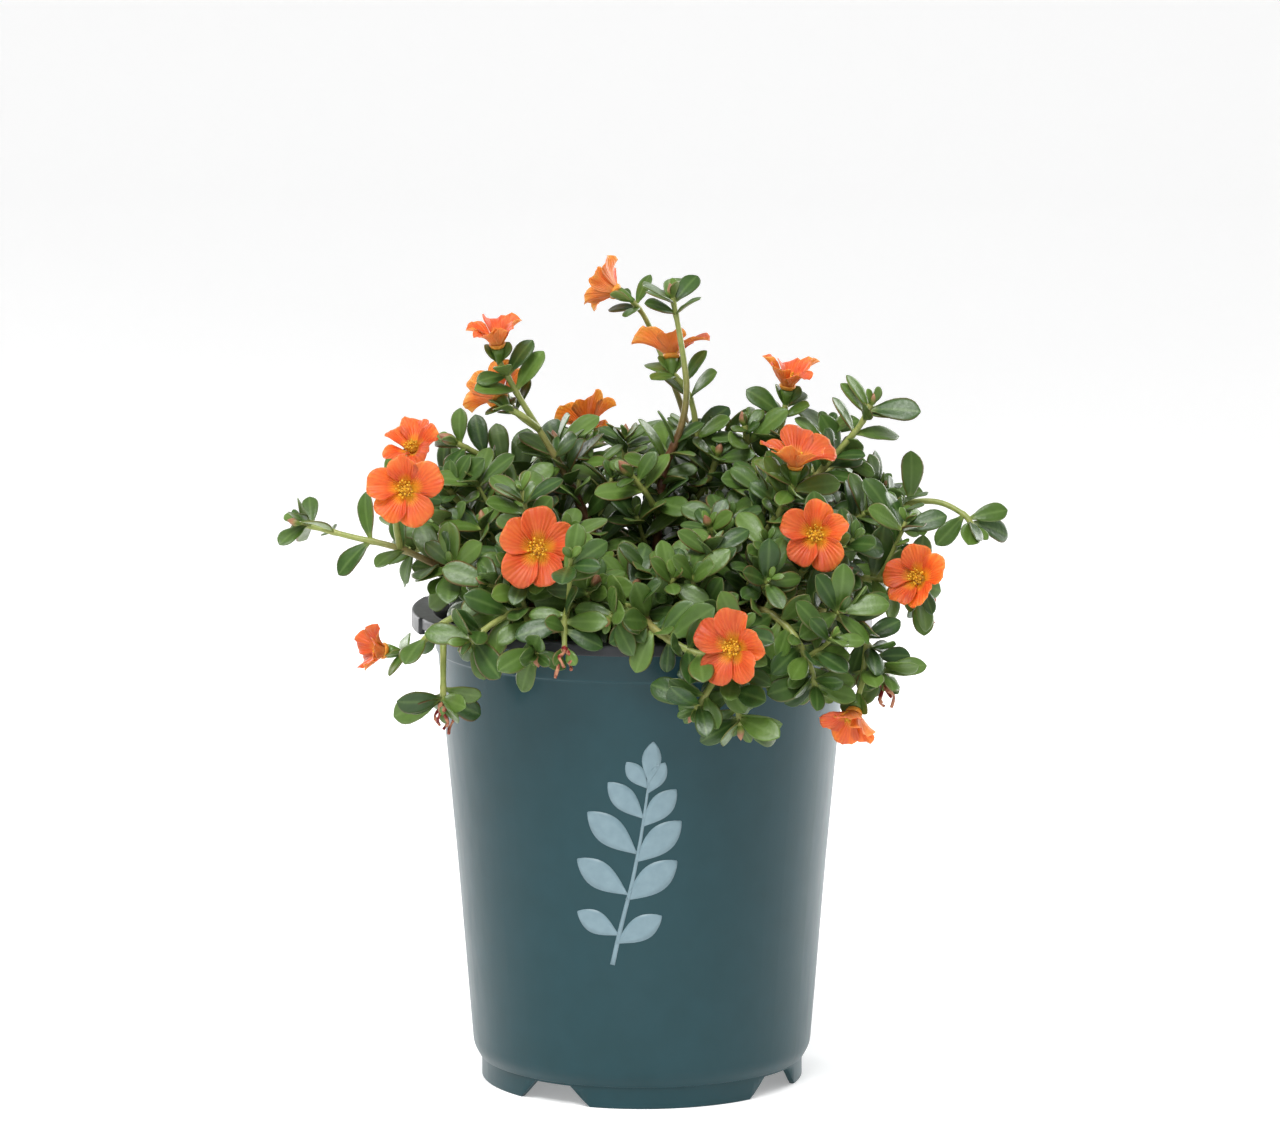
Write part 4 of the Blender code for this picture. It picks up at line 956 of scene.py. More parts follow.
def petal_points(base, aim, spin, cup, length, rows, columns):
    """One petal of a bloom: a sector of a flared cup, with one edge in and the other edge out. Its lean
    grows from the throat's to the edge's, and the mean of both carries a point out and up."""
    first, second = side_frame(aim)
    steep = opened(THROAT_LEAN, cup)
    flat = opened(EDGE_LEAN, cup)
    u = rows[:, None]
    v = columns[None, :]
    reach = u * (1 - 0.16 * np.abs(v) ** 2.4 - 0.05 * np.exp(-(v / 0.25) ** 2))
    lean = steep + (flat - steep) * reach
    radius = THROAT_RADIUS + length * reach * np.sin((steep + lean) / 2)
    height = THROAT_HEIGHT + length * reach * np.cos((steep + lean) / 2)
    wave = PETAL_WAVE * reach ** 2 * np.sin(4.2 * v + spin)
    lap = PETAL_LAP * v * np.minimum(1, 1.6 * reach)
    angle = spin + v * radians(PETAL_SPREAD) * (0.55 + 0.45 * np.minimum(1, 1.5 * reach))
    radius = radius - lap * np.cos(lean)
    height = height + lap * np.sin(lean) + wave * np.sin(lean)
    around = np.cos(angle)[..., None] * first + np.sin(angle)[..., None] * second
    return base + around * radius[..., None] + aim * height[..., None]


def bloom_base(path, length):
    """Where a bloom sits: on the calyx that ends its stem."""
    return path[-1] + unit(length["aim"]) * (CALYX_LENGTH + GAP)


def bloom_samples(path, length):
    """A few points on all petals of a bloom, by which leaves keep off it."""
    rows = np.array([0.1, 0.4, 0.6, 0.8, 1.0])
    columns = np.linspace(-1, 1, 5)
    base = bloom_base(path, length)
    aim = unit(length["aim"])
    petals = [petal_points(base, aim, 2 * pi * k / PETALS, length["cup"],
                           PETAL_LENGTH * length["size"], rows, columns) for k in range(PETALS)]
    return np.concatenate([p.reshape(-1, 3) for p in petals])


print("lean of a half open petal's edge:", round(np.degrees(opened(EDGE_LEAN, 0.5)), 1), "degrees")

# %% [markdown]
# Leaves share the space between stems. A crowd remembers a few points of all that is placed, and a
# leaf is tried as it wants to grow, then swung or tilted a little, until it is clear of the rest.

# %% What is already taken
PETAL_OWNER = 1000
OFF_WALL = 1.6
OFF_RIM_SIDE = 2.6
OFF_SOIL = 3.0
NEIGHBOUR_REACH = 30.0
STALK_SAMPLES = 3
BOX_LEEWAY = 4.0


def pot_is_clear(points):
    """True where points keep off the pot's wall and rim, and off the soil."""
    radius = np.sqrt(points[..., 0] ** 2 + points[..., 1] ** 2)
    z = points[..., 2]
    mouth = NECK_RADIUS - 2 * WALL
    under_rim = SOIL_TOP - 2 * SKIRT_DEPTH
    at_rim = (z < POT_HEIGHT + OFF_WALL) & (z > under_rim)
    in_rim = at_rim & (radius > mouth) & (radius < RIM_RADIUS + OFF_RIM_SIDE)
    in_wall = (z <= under_rim) & (radius < NECK_RADIUS + OFF_WALL)
    in_soil = (z < SOIL_TOP + OFF_SOIL) & (radius <= mouth)
    return not np.any(in_rim | in_wall | in_soil)


class Crowd:
    """Every point already taken, with its owner and its fatness."""

    def __init__(self):
        self.points = np.zeros((0, 3))
        self.fat = np.zeros(0)
        self.owner = np.zeros(0, int)

    def add(self, points, fat, owner):
        """Takes the room round some points for their owner."""
        points = np.asarray(points, float).reshape(-1, 3)
        self.points = np.vstack([self.points, points])
        self.fat = np.concatenate([self.fat, np.full(len(points), float(fat))])
        self.owner = np.concatenate([self.owner, np.full(len(points), owner)])

    def around(self, place, reach=NEIGHBOUR_REACH):
        """The part of the crowd that a leaf at a place could meet."""
        near = ((self.points - place) ** 2).sum(-1) < reach ** 2
        part = Crowd()
        part.points = self.points[near]
        part.fat = self.fat[near]
        part.owner = self.owner[near]
        return part

    def is_clear(self, points, fat, owner, own_gap=OWN_LEAF_GAP):
        """Other stems' points stay a full gap away, and the same stem's leaves nearly so, but for the
        first samples of a leaf, which crowd at its stalk."""
        points = points.reshape(-1, 3)
        apart = np.sqrt(((self.points[None] - points[:, None]) ** 2).sum(-1))
        other = self.owner != owner
        if np.any(apart[:, other] < (self.fat + fat)[other]):
            return False
        own_leaf = (self.owner == owner) & (self.fat <= LEAF_FAT)
        return not np.any(apart[STALK_SAMPLES:, own_leaf] < own_gap)


def in_box(points, leeway=BOX_LEEWAY):
    """True where no point leaves the solids' box by more than a few millimetres."""
    low, high = (np.array(corner) / MM for corner in cad_box)
    return not np.any((points < low - leeway) | (points > high + leeway))


print("is a point in the soil clear of the pot?", pot_is_clear(np.array([0.0, 0.0, 100.0])))

# %% Where leaves want to grow
WHORL_OPEN = (52, 74)
WHORL_SIZE = (0.78, 1.0)
PAIR_OPEN = (50, 70)
PAIR_SIZE = (0.85, 1.08)
SAMPLE_ROWS = np.array([0.25, 0.45, 0.65, 0.85, 1.0])
SAMPLE_COLUMNS = np.array([-1.0, 0.0, 1.0])


def leaf_requests(stems):
    """Where leaves want to grow, tips first: (rank, owner, base, stem direction, swing, open, length)."""
    draw = np.random.default_rng(SEED)
    wanted = []
    for owner, (root, lengths) in enumerate(stems.values()):
        for index, length in enumerate(lengths):
            path = path_of(root, index, length)
            tip = end_direction(path)
            start = draw.uniform(0, 360)
            for k in range(length["whorl"]):
                swing = start + 360 / length["whorl"] * k + draw.uniform(-12, 12)
                opening = draw.uniform(*WHORL_OPEN)
                scale = draw.uniform(*WHORL_SIZE) * length["size"]
                back = int(draw.integers(1, 4))
                wanted.append((0, owner, path[-1 - back], tip, swing, opening, scale))
            for rank in range(1, length["pairs"] + 1):
                at = len(path) - 1 - int(rank * LEAF_SPACING / PATH_STEP)
                turn = draw.uniform(0, 360)
                here = unit(path[at + 1] - path[at - 1])
                for k in range(2):
                    swing = turn + 180 * k + draw.uniform(-14, 14)
                    opening = draw.uniform(*PAIR_OPEN)
                    scale = draw.uniform(*PAIR_SIZE)
                    wanted.append((rank, owner, path[at], here, swing, opening, scale))
    wanted.sort(key=lambda w: (w[0], w[1]))
    return wanted


print("leaves asked for:", len(leaf_requests(STEMS)))

# %% A try for each leaf: how far it is swung and tilted, in degrees, and its size
TRIES = ((0, 0, 1), (28, 0, 1), (-28, 0, 1), (0, -18, 0.95), (0, 16, 0.9), (55, 8, 0.9), (-55, 8, 0.9),
         (28, -20, 0.8), (-28, -20, 0.8), (90, 0, 0.8))
EDGE_ON = 0.25


def place_leaf(request, crowd, fat=LEAF_FAT, own_gap=OWN_LEAF_GAP, light=None):
    """Try a leaf as wanted, then swung or tilted a little, and give the first that has room."""
    _, owner, base, along, swing, opening, scale = request
    first, second = side_frame(along)
    nearby = crowd.around(base)
    for turn, tilt, shrink in TRIES:
        angle = radians(swing + turn)
        lean = radians(opening + tilt)
        away = first * cos(angle) + second * sin(angle)
        out = unit(along * cos(lean) + away * sin(lean) + np.array([0, 0, LEAF_LIFT]))
        lit = 0.7 * along + np.array([0, 0, 0.8]) if light is None else light
        face = lit - out * (lit @ out)
        if np.sqrt((face * face).sum()) < EDGE_ON:
            face = out * (away @ out) - away
        face = unit(face)
        length = LEAF_LENGTH * scale * shrink
        width = LEAF_WIDTH * scale * shrink
        samples = leaf_points(base, out, face, length, width, SAMPLE_ROWS, SAMPLE_COLUMNS)
        inside = light is None or in_box(samples)
        if inside and pot_is_clear(samples) and nearby.is_clear(samples, fat, owner, own_gap):
            crowd.add(samples[1:], fat, owner)
            return base, out, face, length, width
    return None


print("tries for a leaf:", len(TRIES))

# %% The leaves that the solids have
STEM_ROOM = 0.4


def occupied(stems):
    """A crowd of all stems and blooms, before any leaf."""
    crowd = Crowd()
    for owner, (root, lengths) in enumerate(stems.values()):
        for index, length in enumerate(lengths):
            path = path_of(root, index, length)
            crowd.add(path, ROOT_STEM + STEM_ROOM, owner)
            if length["end"] == "bloom":
                crowd.add(bloom_samples(path, length), LEAF_FAT, PETAL_OWNER)
    return crowd


crowd = occupied(STEMS)
leaves = {owner: [] for owner in range(len(STEMS))}
for request in leaf_requests(STEMS):
    leaf = place_leaf(request, crowd)
    if leaf is not None:
        leaves[request[1]].append(leaf)
print("leaves as in the solids:", sum(len(found) for found in leaves.values()))

# %% [markdown]
# The solids hold as many leaves as their number of faces allows, and the plant has about ten times as
# many. A second round fills in its thick middle: short side shoots with leaf clusters of their own, and
# more pairs down each run. Outside the middle the stems are bare but for their own leaves and a few
# more at each tip, most of all where it hangs over the side. These leaves may stand closer, and they
# face outwards.

# %% Where the plant is thick, and where it stays open
FINE_FAT = 0.75
FINE_GAP = 1.3
SHOOT_EVERY = 15.0
BODY_MIDDLE = np.array([12.0, 2.0, 184.0])
BODY_REACH = np.array([86.0, 96.0, 48.0])
BARE_RIM = (-48.0, 66.0, 180.0)
HANGING_BELOW = 176.0
AIR_BEFORE_BLOOM = np.array([11.0, 17.0, 23.0, 30.0])
AIR_RADIUS = 9.0


def in_body(place):
    """True in the plant's thick middle, a box with rounded corners: the fourth powers add to under 1."""
    return (((np.asarray(place) - BODY_MIDDLE) / BODY_REACH) ** 4).sum(-1) < 1


def tip_leaves(place):
    """How many more leaves a tip gets: most in the thick middle and where it hangs over the side."""
    return 4 if in_body(place) or place[2] < HANGING_BELOW else 2


def off_bare_rim(points):
    """True where points leave the rim open on the left, as the photograph shows it."""
    side, radius, height = BARE_RIM
    far = np.hypot(points[..., 0], points[..., 1]) > radius
    return not np.any(far & (points[..., 0] < side) & (points[..., 2] < height))


def keep_blooms_open(stems, crowd):
    """Fills the air before each bloom with wide points, so that nothing more grows in front of it."""
    for root, lengths in stems.values():
        for index, length in enumerate(lengths):
            if length["end"] == "bloom":
                base = bloom_base(path_of(root, index, length), length)
                ahead = AIR_BEFORE_BLOOM[:, None] * unit(length["aim"])
                crowd.add(base + ahead, AIR_RADIUS, PETAL_OWNER)


keep_blooms_open(STEMS, crowd)
print("points in the crowd:", len(crowd.points))

# %% Side shoots
SHOOT_REACH = (11, 22)
SHOOT_RISE = 0.3
SHOOT_GAP = 0.9
SHOOT_FAT = 1.3


def shoot_from(path, at, draw):
    """A short shoot: it leaves aside, along and outwards, and rises with the square of the way along."""
    along = unit(path[at + 1] - path[at - 1])
    first, second = side_frame(along)
    turn = draw.uniform(0, 2 * pi)
    reach = draw.uniform(*SHOOT_REACH)
    aside = first * cos(turn) + second * sin(turn)
    outward = np.array([path[at][0], path[at][1], 0]) / 90
    heading = unit(aside + 0.5 * along + 0.5 * outward + np.array([0, 0, 0.55]))
    t = np.linspace(0, 1, 9)[:, None]
    rise = np.array([0, 0, 1.0])
    return path[at] + heading * reach * t + rise * reach * SHOOT_RISE * t ** 2


def side_shoots(stems, crowd):
    """Short shoots, one every so often down each run, kept where they have room in the thick middle."""
    draw = np.random.default_rng(SEED + 1)
    shoots = []
    for owner, (root, lengths) in enumerate(stems.values()):
        for index, length in enumerate(lengths):
            path = path_of(root, index, length)
            steps = int(SHOOT_EVERY / PATH_STEP)
            for at in range(6 if index == 0 else 4, len(path) - 5, steps):
                shoot = shoot_from(path, at, draw)
                others = crowd.around(shoot[-1], 14.0)
                apart = np.sqrt(((others.points[None] - shoot[3:, None]) ** 2).sum(-1))
                free = pot_is_clear(shoot[3:]) and not np.any(apart < others.fat + SHOOT_GAP)
                if free and in_body(shoot[-1]) and off_bare_rim(shoot):
                    crowd.add(shoot[2:], SHOOT_FAT, owner)
                    shoots.append((owner, shoot))
    return shoots


shoots = side_shoots(STEMS, crowd)
print("side shoots:", len(shoots))

# %% What the second round asks for
CLUSTER_OPEN = (48, 80)
CLUSTER_SIZE = (0.76, 1.2)
YOUNG_OPEN = (18, 42)
YOUNG_SIZE = (0.36, 0.52)
YOUNGEST_SIZE = (0.24, 0.34)
MORE_PAIRS_OPEN = (42, 78)
MORE_PAIRS_SIZE = (0.68, 1.22)
RUN_SPACING = 10.0
SHOOT_SPACING = 8.0
SHOOT_CLUSTER = 5
SHOOT_TIP_SCALE = 0.95
SHOOT_PAIR_SCALE = 0.9


def add_cluster(wanted, draw, owner, path, count, scale):
    """Requests for the leaves round a tip, and for two pairs of small young ones in their middle."""
    tip = end_direction(path)
    start = draw.uniform(0, 360)
    for k in range(count):
        swing = start + 360 / count * k + draw.uniform(-14, 14)
        opening = draw.uniform(*CLUSTER_OPEN)
        wanted.append((0, owner, path[-2], tip, swing, opening, draw.uniform(*CLUSTER_SIZE) * scale))
    for k in range(4):
        size = draw.uniform(*(YOUNG_SIZE if k < 2 else YOUNGEST_SIZE)) * scale
        swing = start + 90 * k + 45
        wanted.append((1, owner, path[-1], tip, swing, draw.uniform(*YOUNG_OPEN), size))


def add_pairs(wanted, draw, owner, path, spacing, scale):
    """Requests for leaf pairs down a run, tip first, each pair turned a right angle from the last."""
    turn = draw.uniform(0, 360)
    steps = max(2, int(spacing / max(1.0, np.sqrt(((path[1] - path[0]) ** 2).sum()))))
    for rank, at in enumerate(range(len(path) - 1 - steps, 2, -steps)):
        here = unit(path[at + 1] - path[at - 1])
        turn += 90
        for k in range(2):
            swing = turn + 180 * k + draw.uniform(-16, 16)
            size = draw.uniform(*MORE_PAIRS_SIZE) * scale
            if in_body(path[at]) and off_bare_rim(path[at]):
                opening = draw.uniform(*MORE_PAIRS_OPEN)
                wanted.append((2 + rank, owner, path[at], here, swing, opening, size))


def finer_requests(stems, shoots):
    """More leaves: rank 0 at the tips, then pairs down the runs, each turned from the last."""
    draw = np.random.default_rng(SEED + 2)
    wanted = []
    for owner, (root, lengths) in enumerate(stems.values()):
        for index, length in enumerate(lengths):
            path = path_of(root, index, length)
            if length["end"] == "whorl":
                add_cluster(wanted, draw, owner, path, tip_leaves(path[-1]), length["size"])
            add_pairs(wanted, draw, owner, path, RUN_SPACING, 1.0)
    for owner, shoot in shoots:
        add_cluster(wanted, draw, owner, shoot, SHOOT_CLUSTER, SHOOT_TIP_SCALE)
        add_pairs(wanted, draw, owner, shoot, SHOOT_SPACING, SHOOT_PAIR_SCALE)
    wanted.sort(key=lambda w: (w[0], w[1]))
    return wanted


more = finer_requests(STEMS, shoots)
print("more leaves asked for:", len(more))

# %% The rest of the leaves
draw = np.random.default_rng(SEED + 3)
for request in more:
    base, along = request[2:4]
    outwards = unit(base - np.array([0, 0, 150.0]))
    light = 0.45 * along + np.array([0, 0, 0.45]) + 0.75 * outwards + draw.uniform(-0.4, 0.4, 3)
    leaf = place_leaf(request, crowd, FINE_FAT, FINE_GAP, light)
    if leaf is not None:
        leaves[request[1]].append(leaf)
print("leaves in all:", sum(len(found) for found in leaves.values()))

# %% [markdown]
# The leaf's skin is glossy and a little uneven. Its upper side is a deeper green with a paler line
# along its trough, its under side is paler, and some leaves have a thin red edge. The stems are
# yellow-green where they are young and turn brownish red with age.

# %% The finish of leaves
def leaf_finish():
    """Green from dark to pale by each leaf's own tone, patched by a noise, with a pale line where across
    is near zero, a pale foot, a paler under side, and red where the edge and the leaf's own red meet."""
    made, tree, shader = finish("fleshy_leaf", 0.34, 0.38)
    deep = mixed(tree, attribute(tree, "tone"), screen(34, 62, 21), screen(91, 119, 46))
    patch = spread(tree, noise(tree, 240.0, 4.0), 0.35, 0.7)
    patchy = mixed(tree, attribute(tree, "tone"), screen(44, 74, 27), screen(101, 129, 54))
    upper = mixed(tree, patch, deep, patchy)
    streak = spread(tree, attribute(tree, "across"), 0.0, 0.22, 0.26, 0.0)
    upper = mixed(tree, streak, upper, screen(122, 150, 82))
    under = mixed(tree, attribute(tree, "tone"), screen(76, 101, 50), screen(117, 138, 73))
    skin = mixed(tree, attribute(tree, "upper"), under, upper)
    foot = spread(tree, attribute(tree, "along"), 0.0, 0.22, 0.8, 0.0)
    skin = mixed(tree, foot, skin, screen(136, 150, 76))
    edge = spread(tree, attribute(tree, "across"), 0.80, 0.98)
    skin = mixed(tree, maths(tree, "MULTIPLY", edge, attribute(tree, "red")), skin, screen(112, 52, 38))
    paint(tree, shader, skin)
    shine = spread(tree, noise(tree, 700.0, 2.0), 0.3, 0.7, 0.30, 0.46)
    tree.links.new(shine, shader.inputs["Roughness"])
    emboss(tree, shader, noise(tree, 900.0, 3.0), 0.00018, 0.6)
    return made


LEAF_SKIN = leaf_finish()
print(LEAF_SKIN.name, "has", len(LEAF_SKIN.node_tree.nodes), "nodes")

# %% Finishes of stems, buds and withered blooms
def stem_finish():
    """Yellow-green where age is low and brownish red where it is high, both streaked by a noise."""
    made, tree, shader = finish("fleshy_stem", 0.42, 0.4)
    streaks = spread(tree, noise(tree, 380.0, 3.0), 0.3, 0.7)
    young = mixed(tree, streaks, screen(122, 136, 66), screen(150, 154, 86))
    old = mixed(tree, streaks, screen(84, 46, 34), screen(120, 84, 56))
    age = spread(tree, attribute(tree, "age"), 0.35, 0.75)
    paint(tree, shader, mixed(tree, age, young, old))
    emboss(tree, shader, noise(tree, 600.0, 3.0), 0.0002, 0.5)
    return made


def bud_finish():
    """Green at the foot, going over to tan along the bud."""
    made, tree, shader = finish("bud_skin", 0.45, 0.35)
    streaks = spread(tree, noise(tree, 500.0, 3.0), 0.3, 0.7)
    tan = mixed(tree, streaks, screen(134, 88, 66), screen(162, 118, 86))
    green = mixed(tree, streaks, screen(100, 122, 48), screen(122, 138, 64))
    paint(tree, shader, mixed(tree, spread(tree, attribute(tree, "along"), 0.25, 0.65), green, tan))
    return made


def withered_finish():
    """Dark red with tan blotches, and a deep wrinkled relief."""
    made, tree, shader = finish("withered_bloom", 0.6, 0.3)
    blotches = spread(tree, noise(tree, 420.0, 3.0), 0.42, 0.58)
    paint(tree, shader, mixed(tree, blotches, screen(112, 16, 18), screen(176, 122, 92)))
    emboss(tree, shader, noise(tree, 900.0, 3.0), 0.0004, 0.8)
    return made


WITHERED = withered_finish()
STEM_SKIN = stem_finish()
BUD_SKIN = bud_finish()
ON_LEAF, ON_STEM, ON_BUD, ON_WITHERED = range(4)
print("finishes:", WITHERED.name, STEM_SKIN.name, BUD_SKIN.name)

# %% Fineness and width of a fine leaf
LEAF_THICK = 1.25
MOST_ROLL = radians(50)
LEAF_ROWS = 11
LEAF_AROUND = 12
LIGHT_FROM = np.array([0, -0.75, 0.5])
TONE_OF_YOUNG = 0.62


def fine_width(u):
    """The leaf's width with a narrower stalk, and an end kept broad and rounded off as a circle is."""
    stalk = 0.60 + 0.40 * np.clip(u / 0.3, 0, 1)
    broad = 1 + 0.16 * np.clip((u - 0.6) / 0.3, 0, 1)
    end = np.sqrt(1 - np.clip((u - 0.90) / 0.10, 0, 0.999) ** 2)
    return leaf_width(u) * stalk * broad * end


widest = along_leaf[np.argmax(fine_width(along_leaf))]
print("a fine leaf is widest", round(float(widest), 2), "of the way along")

# %% A leaf's turn to the light, its section and its values
def turned_to_light(base, out, face, draw):
    """Each leaf's sideways direction and face, rolled on its own axis. It rolls by most of the angle
    that would turn its face to the light, which comes from outside the plant, from above and in front."""
    outwards = base - np.array([0, 0, 160.0])
    outwards /= np.linalg.norm(outwards, axis=1)[:, None]
    light = 0.4 * outwards + LIGHT_FROM + draw.uniform(-0.35, 0.35, (len(base), 3))
    side = np.cross(out, face)
    roll = np.arctan2((light * side).sum(1), (light * face).sum(1))
    roll = np.clip(0.8 * roll, -MOST_ROLL, MOST_ROLL)[:, None]
    return side * np.cos(roll) - face * np.sin(roll), face * np.cos(roll) + side * np.sin(roll)


def leaf_section(u, turn, width):
    """A closed lens: half width by the sine of the angle round it, half thickness by the cosine. The
    thickness is full in the leaf's middle and thins with its width, and a channel runs along the top."""
    across = np.sin(turn)
    half = width / 2 * fine_width(u) * across
    thick = LEAF_THICK / 2 * (0.50 + 0.50 * np.sin(pi * u ** 0.8))
    thick = thick * np.minimum(1, fine_width(u) / 0.45) ** 0.6
    lens = thick * np.sign(np.cos(turn)) * np.abs(np.cos(turn)) ** 0.8
    channel = -0.30 * thick * np.exp(-(across / 0.28) ** 2) * (np.cos(turn) > 0.1)
    return half, lens + channel


def leaf_values(u, turn, length, draw):
    """What the finish reads at each point. A short, young leaf has a paler tone than a long one."""
    count = len(length)
    tone = draw.uniform(0, 0.75, (count, 1, 1)) + 0.9 * np.clip(TONE_OF_YOUNG - length / LEAF_LENGTH, 0, 1)
    values = {
        "along": u,
        "across": np.abs(np.sin(turn)),
        "upper": np.clip(0.5 + 4 * np.cos(turn), 0, 1),
        "tone": np.clip(tone, 0, 1),
        "red": 0.7 * draw.uniform(0, 1, (count, 1, 1)) ** 2,
    }
    shape = (count, LEAF_ROWS, LEAF_AROUND)
    return {key: np.broadcast_to(value, shape).reshape(count, -1) for key, value in values.items()}


half_width, lens_height = leaf_section(np.array(0.5), np.array([pi / 2, 0]), LEAF_WIDTH)
print("in its middle a leaf is", round(2 * float(half_width[0]), 1), "mm wide and its upper half",
      round(float(lens_height[1]), 2), "mm thick")

# %% Fine leaves, all of a stem's at once
def fine_leaves(found, draw):
    """Closed leaves, (leaf, point, 3): each section is carried along a line that droops with the square
    of the way, twists on it, folds up at both edges and ripples a little."""
    base, out, face = (np.array([leaf[k] for leaf in found]) for k in range(3))
    length, width = (np.array([leaf[k] for leaf in found])[:, None, None] for k in (3, 4))
    count = len(found)
    u = (1 - (1 - np.linspace(0, 1, LEAF_ROWS)) ** 1.8)[None, :, None]
    turn = full_turn(LEAF_AROUND)[None, None, :]
    across = np.sin(turn)
    side, face = turned_to_light(base, out, face, draw)
    twist = draw.uniform(-0.45, 0.45, (count, 1, 1)) * u
    droop = draw.uniform(0.75, 1.35, (count, 1, 1)) * LEAF_DROOP
    half, lens = leaf_section(u, turn, width)
    fold = LEAF_TROUGH * width * leaf_width(u) * np.sqrt(across ** 2 + 0.03)
    ripple = 0.018 * width * np.sin(9 * u + 10 * twist) * across ** 2
    bend = -droop * length * u ** 2 + LEAF_ARCH * length * u
    along_side = half * np.cos(twist) - (lens + ripple) * np.sin(twist)
    along_face = bend + fold + half * np.sin(twist) + (lens + ripple) * np.cos(twist)
    points = (base[:, None, None] + out[:, None, None] * (length * u)[..., None]
              + side[:, None, None] * along_side[..., None] + face[:, None, None] * along_face[..., None])
    return points.reshape(count, -1, 3), leaf_values(u, turn, length, draw)


leaf_faces = closed_tube(LEAF_ROWS, LEAF_AROUND)
print("faces a leaf:", len(leaf_faces))

# %% [markdown]
# A stem is a tube: a ring of points carried along its path and turned to stay square to it. It swells
# a little wherever a pair of leaves sits, and its tip is rounded off by two closing rings.

# %% Fine stems
STEM_AROUND = 8
BODY_AROUND = 12
KNOT_SWELL = 0.22
KNOT_REACH = 1.3
AGE_REACH = 85


def finer(path):
    """The path with a point put between every two: nine parts of each and minus one of the next."""
    ends = np.vstack([2 * path[0] - path[1], path, 2 * path[-1] - path[-2]])
    between = (9 * (path[:-1] + path[1:]) - ends[:-3] - ends[3:]) / 16
    out = np.empty((2 * len(path) - 1, 3))
    out[::2] = path
    out[1::2] = between
    return out


def ringed(path, radius, around):
    """Rings of points round a path. The first ring direction is the normal of the path's own plane."""
    heading = np.gradient(path, axis=0)
    heading /= np.linalg.norm(heading, axis=1)[:, None]
    plane = np.linalg.svd(path - path.mean(0))[2][2]
    first = plane - heading * (heading @ plane)[:, None]
    first /= np.linalg.norm(first, axis=1)[:, None]
    second = np.cross(heading, first)
    turn = full_turn(around)[None, :, None]
    ring = first[:, None] * np.cos(turn) + second[:, None] * np.sin(turn)
    return path[:, None] + ring * radius[:, None, None]


def add_stem(heap, path, thick, thin, knots, age_from):
    """A tube along a path whose radius goes evenly from thick to thin, with a rounded tip. Near each
    knot it swells by a bell curve of the distance. Its age grows with the way back from the tip."""
    path = finer(path)
    tip = unit(path[-1] - path[-2])
    path = np.vstack([path, path[-1] + tip * 0.45 * thin, path[-1] + tip * 0.75 * thin])
    far = np.concatenate([[0], np.cumsum(np.linalg.norm(np.diff(path, axis=0), axis=1))])
    radius = thick + (thin - thick) * far / far[-1]
    if len(knots):
        apart = np.sqrt(((path[:, None] - knots[None]) ** 2).sum(-1)).min(1)
        radius = radius * (1 + KNOT_SWELL * np.exp(-(apart / KNOT_REACH) ** 2))
    radius[-2:] *= (0.8, 0.3)
    points = ringed(path, radius, STEM_AROUND)
    age = np.clip((far[-1] - far) / AGE_REACH + age_from, 0, 1)
    heap.add(points.reshape(1, -1, 3), closed_tube(len(path), STEM_AROUND), ON_STEM,
             age=np.repeat(age, STEM_AROUND)[None])


def turned_body(base, aim, profile, around=BODY_AROUND):
    """A profile of (height, radius) turned round an axis that starts at a base and points along aim."""
    first, second = side_frame(aim)
    ring = circle(first, second, full_turn(around))
    height, radius = np.array(profile, float).T
    points = base + aim * height[:, None, None] + ring[None] * radius[:, None, None]
    return points.reshape(1, -1, 3), closed_tube(len(profile), around)


print("faces of a stem of 20 rings:", len(closed_tube(20, STEM_AROUND)))

# %% [markdown]
# Every run ends in something. A bloom stands on a calyx, a small green cup, and a bud is a pointed egg.
# Two little sepals clasp both. Every other tip carries a bud that is still small, and at a few places
# a spent bloom hangs as a twist of dark ribbons. Calyx and bud are turned bodies, which need no more
# than a list of heights and radii.

# %% Calyxes, buds and sepals
CALYX_PROFILE = [(-1.2, 0.9), (0.0, 1.15), (1.6, 1.75), (3.2, 2.25), (CALYX_LENGTH, 2.5),
                 (CALYX_LENGTH + 0.05, 1.2)]
BUD_PROFILE = [(-1.0, 0.8), (0.4, 1.3), (1.8, 1.95), (3.2, 2.15), (4.6, 1.85), (6.0, 1.15),
               (7.0, 0.5), (7.5, 0.1)]
BLOOM_SEPALS = (7.5, 5.0, 0.42)
BUD_SEPALS = (7.0, 4.4, 0.30)
SEPAL_OFFSET = 1.1
YOUNG_BUD = 0.75


def sepals(base, aim, length, width, opening):
    """Two small pointed leaves that clasp a bud or a calyx from both sides."""
    second = side_frame(aim)[1]
    found = []
    for away in (second, -second):
        out = unit(aim + opening * away)
        face = unit(-away - out * (-away @ out))
        found.append((base + away * SEPAL_OFFSET, out, face, length, width))
    return found


def add_bud(heap, base, aim, size):
    """A bud of some size, which keeps how far along it each ring lies."""
    profile = np.array(BUD_PROFILE) * size
    points, faces = turned_body(base, aim, profile)
    along = np.repeat(profile[:, 0] / (BUD_LENGTH * size), BODY_AROUND)[None]
    heap.add(points, faces, ON_BUD, along=along)


def end_leaves(path, length):
    """The small leaves at the end of a run: sepals where a bloom or a bud stands."""
    if length["end"] == "bloom":
        return sepals(path[-1], unit(length["aim"]), *BLOOM_SEPALS)
    if length["end"] == "bud":
        return sepals(path[-1], end_direction(path), *BUD_SEPALS)
    return []


print("a full bud is", BUD_LENGTH, "mm long, a young one", BUD_LENGTH * YOUNG_BUD)

